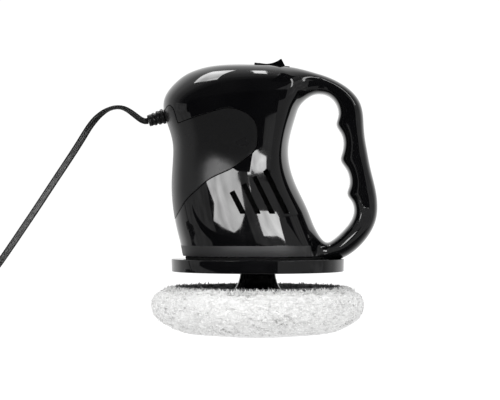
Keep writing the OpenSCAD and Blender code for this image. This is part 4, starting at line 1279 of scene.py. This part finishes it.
def rim_locks(rng):
    """Locks that stand up round the rolled rim."""
    count = 1500
    turn = rng.uniform(0, 2 * math.pi, count)
    height = rng.uniform(0, 1, count)
    radius = RIM_R - 1.2 + 8.5 * height + rng.normal(0, 0.3, count)
    drop = np.clip((radius - RIM_R) / (BONNET_R - RIM_R), 0, 1)
    top = BONNET_WIDEST + (RIM_CREST - BONNET_WIDEST) * np.sqrt(1 - drop**2) - 0.9
    roots = np.stack([radius * np.cos(turn), radius * np.sin(turn), top], 1)
    outwards = np.stack([np.cos(turn), np.sin(turn), np.zeros(count)], 1)
    ways = outwards * (0.15 + 0.7 * height)[:, None] + (0, 0, 1) + rng.normal(0, 0.35, (count, 3))
    return tufts(roots, ways, rng.uniform(1.6, 3.6, count), rng.uniform(0.5, 1.0, count), rng)


def side_curls(rng, section, out, reach):
    """Short curls over the bonnet's side."""
    count = 2600
    turn = rng.uniform(0, 2 * math.pi, count)
    place = rng.uniform(50, reach[-1] - 14, count)
    along = np.unique(reach)
    at = np.stack([np.interp(place, along, section[:, k]) for k in (0, 1)], 1)
    facing = np.stack([np.interp(place, along, out[:, k]) for k in (0, 1)], 1)
    roots = np.stack([at[:, 0] * np.cos(turn), at[:, 0] * np.sin(turn), at[:, 1]], 1)
    ways = np.stack([facing[:, 0] * np.cos(turn), facing[:, 0] * np.sin(turn), facing[:, 1]], 1)
    roots = roots - ways * 1.4
    ways = ways * 0.6 + rng.normal(0, 0.5, (count, 3)) - (0, 0, 0.15)
    return tufts(roots, ways, rng.uniform(1.4, 2.6, count), rng.uniform(0.5, 0.9, count), rng, 3, 2)


def build_hem():
    """The bonnet's grey gathered hem, which draws in over the plate, with short backing fibres."""
    rng = np.random.default_rng(SEED + 1)
    section = even([(60, 29.5), (58, 29.6), (55.9, 30.2), (54.9, 31.6), (55.2, 33.6), (56.2, 35.3), (57.6, 36.2),
                    (58.8, 35.9), (57.9, 34), (57.0, 32.4), (57.4, 31.0), (60, 30.6)], 0.6)
    sides = 420
    grid = turn_points(section, sides)
    a = round_angles(sides)
    gather = np.sin(58 * a + 1.5 * np.sin(5 * a)) * 0.55 + np.sin(23 * a + 1) * 0.3
    inward = np.clip((60 - section[:, 0]) / 3, 0, 1)[:, None] * gather[None]
    grid[..., 0] += inward * np.cos(a)
    grid[..., 1] += inward * np.sin(a)
    p = grid.reshape(-1, 3)
    grid = (p + 0.7 * np.stack([lattice_noise(p, 1.4, SEED + k) - 0.5 for k in (31, 32, 33)], 1)).reshape(grid.shape)
    verts, faces = closed_loft(grid)
    count = 1100
    turn = rng.uniform(0, 2 * math.pi, count)
    height = rng.uniform(0, 1, count)
    radius = 55.6 + 2.6 * height**2
    roots = np.stack([radius * np.cos(turn), radius * np.sin(turn), 31 + 5.0 * height], 1)
    ways = np.stack([-np.cos(turn), -np.sin(turn), 0.6 + height], 1) + rng.normal(0, 0.5, (count, 3))
    more, lot = tufts(roots, ways, rng.uniform(1, 2.2, count), rng.uniform(0.3, 0.6, count), rng, 3, 2)
    return outward(new_piece("bonnet_hem", *with_more(verts, faces, more, lot)))


def build_pad():
    """The foam disc between the plate and the fleece, slightly crowned, with open pores."""
    corners = [
        (12, PAD_LOW), (PAD_R - 22, PAD_LOW + 0.3), (PAD_R - 9.5, PAD_LOW + 2.6), (PAD_R, PAD_LOW + 9.5),
        (PAD_R, PLATE_LOW - 1.5), (PAD_R - 1, PLATE_LOW), (12, PLATE_LOW),
    ]
    section = even(fillet(corners, 1.5), 1.6, closed=True)
    sides = 240
    grid = turn_points(section, sides)
    p = grid.reshape(-1, 3)
    middle = np.array([39.0, 15.5])
    normal = turn_points(unit(section - middle), sides).reshape(-1, 3)
    p = p - normal * (0.5 * tuft_relief(p, 2.2, SEED + 3))[:, None]
    return outward(new_piece("foam_disc", *closed_loft(p.reshape(grid.shape))))


# ---- Switch rocker and strain relief ----

ROCKER_OUTLINE = [
    (-9.1, 1.3), (-6.5, 1.1), (-3.6, 1.25), (-0.8, 1.95), (1.7, 3.0), (3.9, 4.3), (5.4, 5.6), (5.9, 5.9),
    (6.3, 5.7), (9.1, 1.4), (9.1, 0.4), (8, -2.5), (3, -4.5), (-3, -4.5), (-7.6, -3.6), (-9.1, -0.6),
]
ROCKER_HALF = 4.9
RELIEF_OUTLINE = [
    (0.4, -6), (6.5, -6), (6.5, -4.2), (4.2, -4.2), (4.2, 0), (5.4, 0), (5.4, 2), (4.3, 2.4), (4.3, 3.3),
    (5.1, 3.6), (4.9, 5.2), (4, 5.5), (4, 6.4), (4.7, 6.7), (4.5, 8.3), (3.7, 8.6), (3.7, 9.4), (4.3, 9.7),
    (4, 12), (0.4, 12),
]


def build_rocker():
    """The switch's rocker: a wedge with a dished top."""
    rings = [[SWITCH_PLACE @ Vector((x, y, z)) for x, z in ROCKER_OUTLINE] for y in (-ROCKER_HALF, ROCKER_HALF)]
    rocker = outward(new_piece("switch_wedge", *loft(rings), smooth=True))
    pin = [SWITCH_PLACE @ Vector((0, y, -1)) for y in (-9, 9)]
    boolean(rocker, rod("pin_hole", *pin, 1.05, 32))
    sharpen(rocker, 30)
    return soften(rocker, 0.35, 45, 3)


def build_relief():
    """The moulded strain relief: a collar and three ribs on a tapering neck, tied by small bridges."""
    relief = turned("ribbed_relief", RELIEF_OUTLINE, 0.3, 72, 3)
    for k, (low, high, r) in enumerate(((1.6, 4, 4.55), (4.8, 7, 4.3), (7.8, 10, 3.95))):
        for side in (0, 1):
            turn = Matrix.Rotation(math.radians(90 * (k % 2) + 180 * side), 4, "Z")
            boolean(relief, cuboid("bridge", (1, -1.3, low), (r, 1.3, high), turn), "UNION")
    for v in relief.data.vertices:
        v.co = (RELIEF_PLACE @ (v.co / MM)) * MM
    return sharpen(relief, 38)


# ---- Assembly ----

front_half, back_half, nose_panel = build_housing()
housing_gloss = satin_base(gloss_black("housing_gloss")).material
dress(front_half, housing_gloss, "housing", ["housing_left"])
dress(back_half, housing_gloss, "housing", ["housing_right"])
# Faces deeper than this under the skin are the unpolished inside
INSIDE_DEPTH = 0.7
inside = moulded_inside()
for half in (front_half, back_half):
    half.data.materials.append(inside)
    middles = np.array([f.center[:] for f in half.data.polygons]) / MM
    deep = housing_field(*middles.T) < -INSIDE_DEPTH
    half.data.polygons.foreach_set("material_index", deep.astype(int))
dress(nose_panel, MATERIALS["matt_black"], "housing", ["nose_panel"])
dress(build_disc(), MATERIALS["gloss_black"], "housing", ["base_flange"])
dress(build_relief(), MATERIALS["black_moulding"], "housing", ["strain_relief"])
dress(build_rocker(), MATERIALS["gloss_black"], "rocker", ["switch_rocker"])
dress(build_hub(), MATERIALS["gloss_black"], "spindle", ["drive_hub"])
dress(build_plate(), MATERIALS["black_moulding"], "spindle", ["backing_plate"])
dress(build_pad(), MATERIALS["foam"], "spindle", ["foam_pad"])
dress(build_bonnet(), MATERIALS["fleece"], "spindle", ["bonnet"])
# The hem's grey fleece carries the same painted shade between its tufts
hem_grey = fleece("hem_grey", (0.035, 0.035, 0.036), (0.17, 0.17, 0.175))
dress(build_hem(), hem_grey, "spindle", ["bonnet_elastic"])
for name, width in (("switch_body", 0.25), ("plug_barrel", 0.25), ("plug_side_contacts", 0.2), ("cord_tie", 0.3)):
    soften(CAD[name], width)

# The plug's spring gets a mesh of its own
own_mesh(CAD["plug_tip_spring"])

dress(cord, MATERIALS["cord_black"], "housing", ["cord_tube", "cord_coil", "cord_tail"])


# ---- Studio ----

MIDDLE = Vector((0, 0, 0.11))
WHITE_LEVEL = 1.05
DIFFUSE_WORLD = 0.98
# What a mirrored ray finds, by how far it points away from the camera's side: -1 is straight back at it
WORLD_LEVELS = ((-1, 0.02), (-0.9, 0.02), (-0.2, 0.03), (-0.05, 0.12), (0.1, 0.3), (0.45, 0.6), (0.75, 1.0), (1, 1.0))
WHITE = (1, 1, 1, 1)


def background_node(tree, strength):
    n = tree.node("ShaderNodeBackground")
    n.inputs["Color"].default_value = WHITE
    n.inputs["Strength"].default_value = strength
    return n


def soft_light(name, place, size, power):
    """A broad light for the matt parts, which the gloss doesn't mirror."""
    data = bpy.data.lights.new(name, "AREA")
    data.size = size
    data.energy = power
    light = link(bpy.data.objects.new(name, data))
    light.location = place
    light.rotation_euler = (MIDDLE - Vector(place)).to_track_quat("-Z", "Y").to_euler()
    light.visible_camera = False
    light.visible_glossy = False


def limit_rays(obj, camera=False, glossy=True, shadow=False):
    """Sets which rays see a piece of the studio; diffuse rays never do."""
    obj.visible_camera = camera
    obj.visible_glossy = glossy
    obj.visible_diffuse = False
    obj.visible_shadow = shadow


def make_world():
    """White behind the object and for the camera; dark in front, where the gloss looks, and dim on the right."""
    world = bpy.data.worlds.new("studio")
    bpy.context.scene.world = world
    tree = Tree(world)
    tree.tree.nodes.clear()
    around = background_node(tree, 1)
    split = tree.node("ShaderNodeSeparateXYZ")
    tree.feed(tree.node("ShaderNodeTexCoord").outputs["Generated"], split.inputs[0])
    ramp = tree.node("ShaderNodeValToRGB")
    ramp.color_ramp.interpolation = "EASE"
    stops = ramp.color_ramp.elements
    for position, _ in WORLD_LEVELS[1:-1]:
        stops.new((position + 1) / 2)
    for stop, (_, level) in zip(stops, WORLD_LEVELS):
        stop.color = (level, level, level, 1)
    tree.feed(tree.spread(split.outputs["Y"], 0, 1, -1, 1), ramp.inputs["Fac"])
    tree.feed(ramp.outputs["Color"], around.inputs["Color"])
    rays = tree.node("ShaderNodeLightPath")
    shown = around
    for ray, strength in (("Is Diffuse Ray", DIFFUSE_WORLD), ("Is Camera Ray", WHITE_LEVEL)):
        mix = tree.node("ShaderNodeMixShader")
        tree.feed(rays.outputs[ray], mix.inputs["Fac"])
        tree.feed(shown.outputs[0], mix.inputs[1])
        tree.feed(background_node(tree, strength).outputs[0], mix.inputs[2])
        shown = mix
    tree.feed(shown.outputs[0], tree.node("ShaderNodeOutputWorld").inputs["Surface"])


def heading(azimuth, elevation, distance=1.0):
    """A point seen from the object's middle; azimuth 0 is the camera's side and 90 the right."""
    a, e = math.radians(azimuth), math.radians(elevation)
    return MIDDLE + distance * Vector((math.sin(a) * math.cos(e), -math.cos(a) * math.cos(e), math.sin(e)))


def light_panel(name, corners, radiance, distance=1.5):
    """A glowing sheet whose corners are given by azimuth and elevation; the camera doesn't see it."""
    ring = [heading(a, e, distance) / MM for a, e in corners]
    back = [p + (p - MIDDLE / MM) * 0.01 for p in ring]
    panel = outward(new_piece(name, *loft([ring, back]), smooth=False))
    m = bpy.data.materials.new(name)
    tree = Tree(m)
    tree.tree.nodes.clear()
    cloud = tree.node("ShaderNodeTexNoise")
    cloud.inputs["Scale"].default_value = 3.0
    glow = tree.node("ShaderNodeEmission")
    tree.feed(tree.node("ShaderNodeTexCoord").outputs["Object"], cloud.inputs["Vector"])
    tree.feed(tree.spread(cloud.outputs["Fac"], 0.75 * radiance, 1.25 * radiance), glow.inputs["Strength"])
    tree.feed(glow.outputs[0], tree.node("ShaderNodeOutputMaterial").inputs["Surface"])
    panel.data.materials.append(m)
    limit_rays(panel)


def card(name, corners, shades=False, glow=0.0):
    """A black or dim sheet that only the gloss sees; it hides the glowing sheets from the parts behind it."""
    ring = np.array(corners, float)
    aside = np.cross(ring[1] - ring[0], ring[2] - ring[1])
    sheet = outward(new_piece(name, *loft([ring, ring + 2 * aside / np.linalg.norm(aside)]), smooth=False))
    m = Maker(name, (0, 0, 0), 1.0, specular_ior_level=0.0, emission_strength=glow, emission_color=WHITE)
    sheet.data.materials.append(m.material)
    limit_rays(sheet, shadow=shades)


def upright(y, corners):
    """Corners in x and z, on a sheet across the camera's view."""
    return [(x, y, z) for x, z in corners]


def make_floor():
    """A pale floor bright enough to show white."""
    half, thick = 3000, 12
    corners = [(-half, -half), (half, -half), (half, half), (-half, half)]
    rings = [[(x, y, z) for x, y in corners] for z in (-thick, 0)]
    floor = new_piece("studio_floor", *loft(rings), smooth=False)
    m = Maker("studio_floor", (0, 0, 0), 0.95, emission_strength=WHITE_LEVEL, emission_color=WHITE)
    floor.data.materials.append(m.material)
    limit_rays(floor, camera=True, glossy=False)


bpy.context.scene.view_settings.view_transform = "Standard"
make_world()
make_floor()
# Bright sheets that the gloss mirrors, by the azimuth and elevation of their corners
light_panel("left_box", [(-45, 12), (-24, -3), (-33, -12), (-3, -12), (13, 2), (16, 11), (0, 12)], 10)
light_panel("right_box", [(24, -5), (38, 1), (48, 2), (49, 10), (45, 12), (25, 12)], 13)
light_panel("top_box", [(-118, 57), (-160, 55), (-176, 62), (-146, 75), (-92, 78), (-104, 69)], 7)
light_panel("ridge_box", [(174, 65), (165, 64), (134, 76), (160, 76)], 8)
light_panel("handle_box", [(73, 22), (78, 22), (92, 56), (108, 69), (128, 70), (100, 72), (84, 58)], 7)
light_panel("dim_left", [(-100, -25), (-34, -25), (-34, 14), (-100, 14)], 0.45, 2.6)
light_panel("dim_right", [(14, -25), (95, -25), (95, 30), (24, 30), (14, 12)], 0.45, 2.6)
# Black and dim sheets that bound the reflections
card("card_high", upright(-145, [
    (-320, 150), (-120, 145), (60, 142), (120, 153), (260, 160), (260, 280), (-320, 280),
]), shades=True)
card("card_panel", upright(-60, [
    (-85, 124), (-34, 128), (-20, 125), (-10, 121), (4, 121), (8, 131), (22, 133), (22, 175), (-85, 175),
]), shades=True)
card("card_flank", upright(-60, [(48, 92), (62, 92), (62, 150), (48, 150)]), glow=0.45)
card("card_grip", upright(-60, [(62, 92), (130, 92), (130, 176), (48, 176), (48, 150), (62, 150)]))
card("card_neck", [(24, -45, 212), (49, -45, 212), (49, -14, 212), (24, -14, 212)])
card("card_inner", [(47, -60, 94), (47, -18, 94), (47, -18, 172), (47, -60, 172)])
card("card_side", [(46, -60, 94), (46, -18, 94), (46, -18, 172), (46, -60, 172)], glow=0.35)
card("card_vents", upright(-60, [(5, 92), (45, 97.5), (45, 121), (5, 117)]), glow=0.45)
card("card_low", upright(-60, [(44.5, 50), (60, 50), (60, 74), (120, 74), (120, 91.8), (43.5, 91.8)]), glow=0.45)
card("card_disc", upright(-75, [(-300, 40), (21, 40), (21, 60), (-300, 60)]))
card("card_rim", upright(-75, [(21, 40), (130, 40), (130, 60), (21, 60)]), glow=0.45)
soft_light("key_light", (-0.9, -1.6, 1.3), 1.2, 12)
soft_light("fill_light", (1.2, -1.3, 0.6), 1.0, 2)
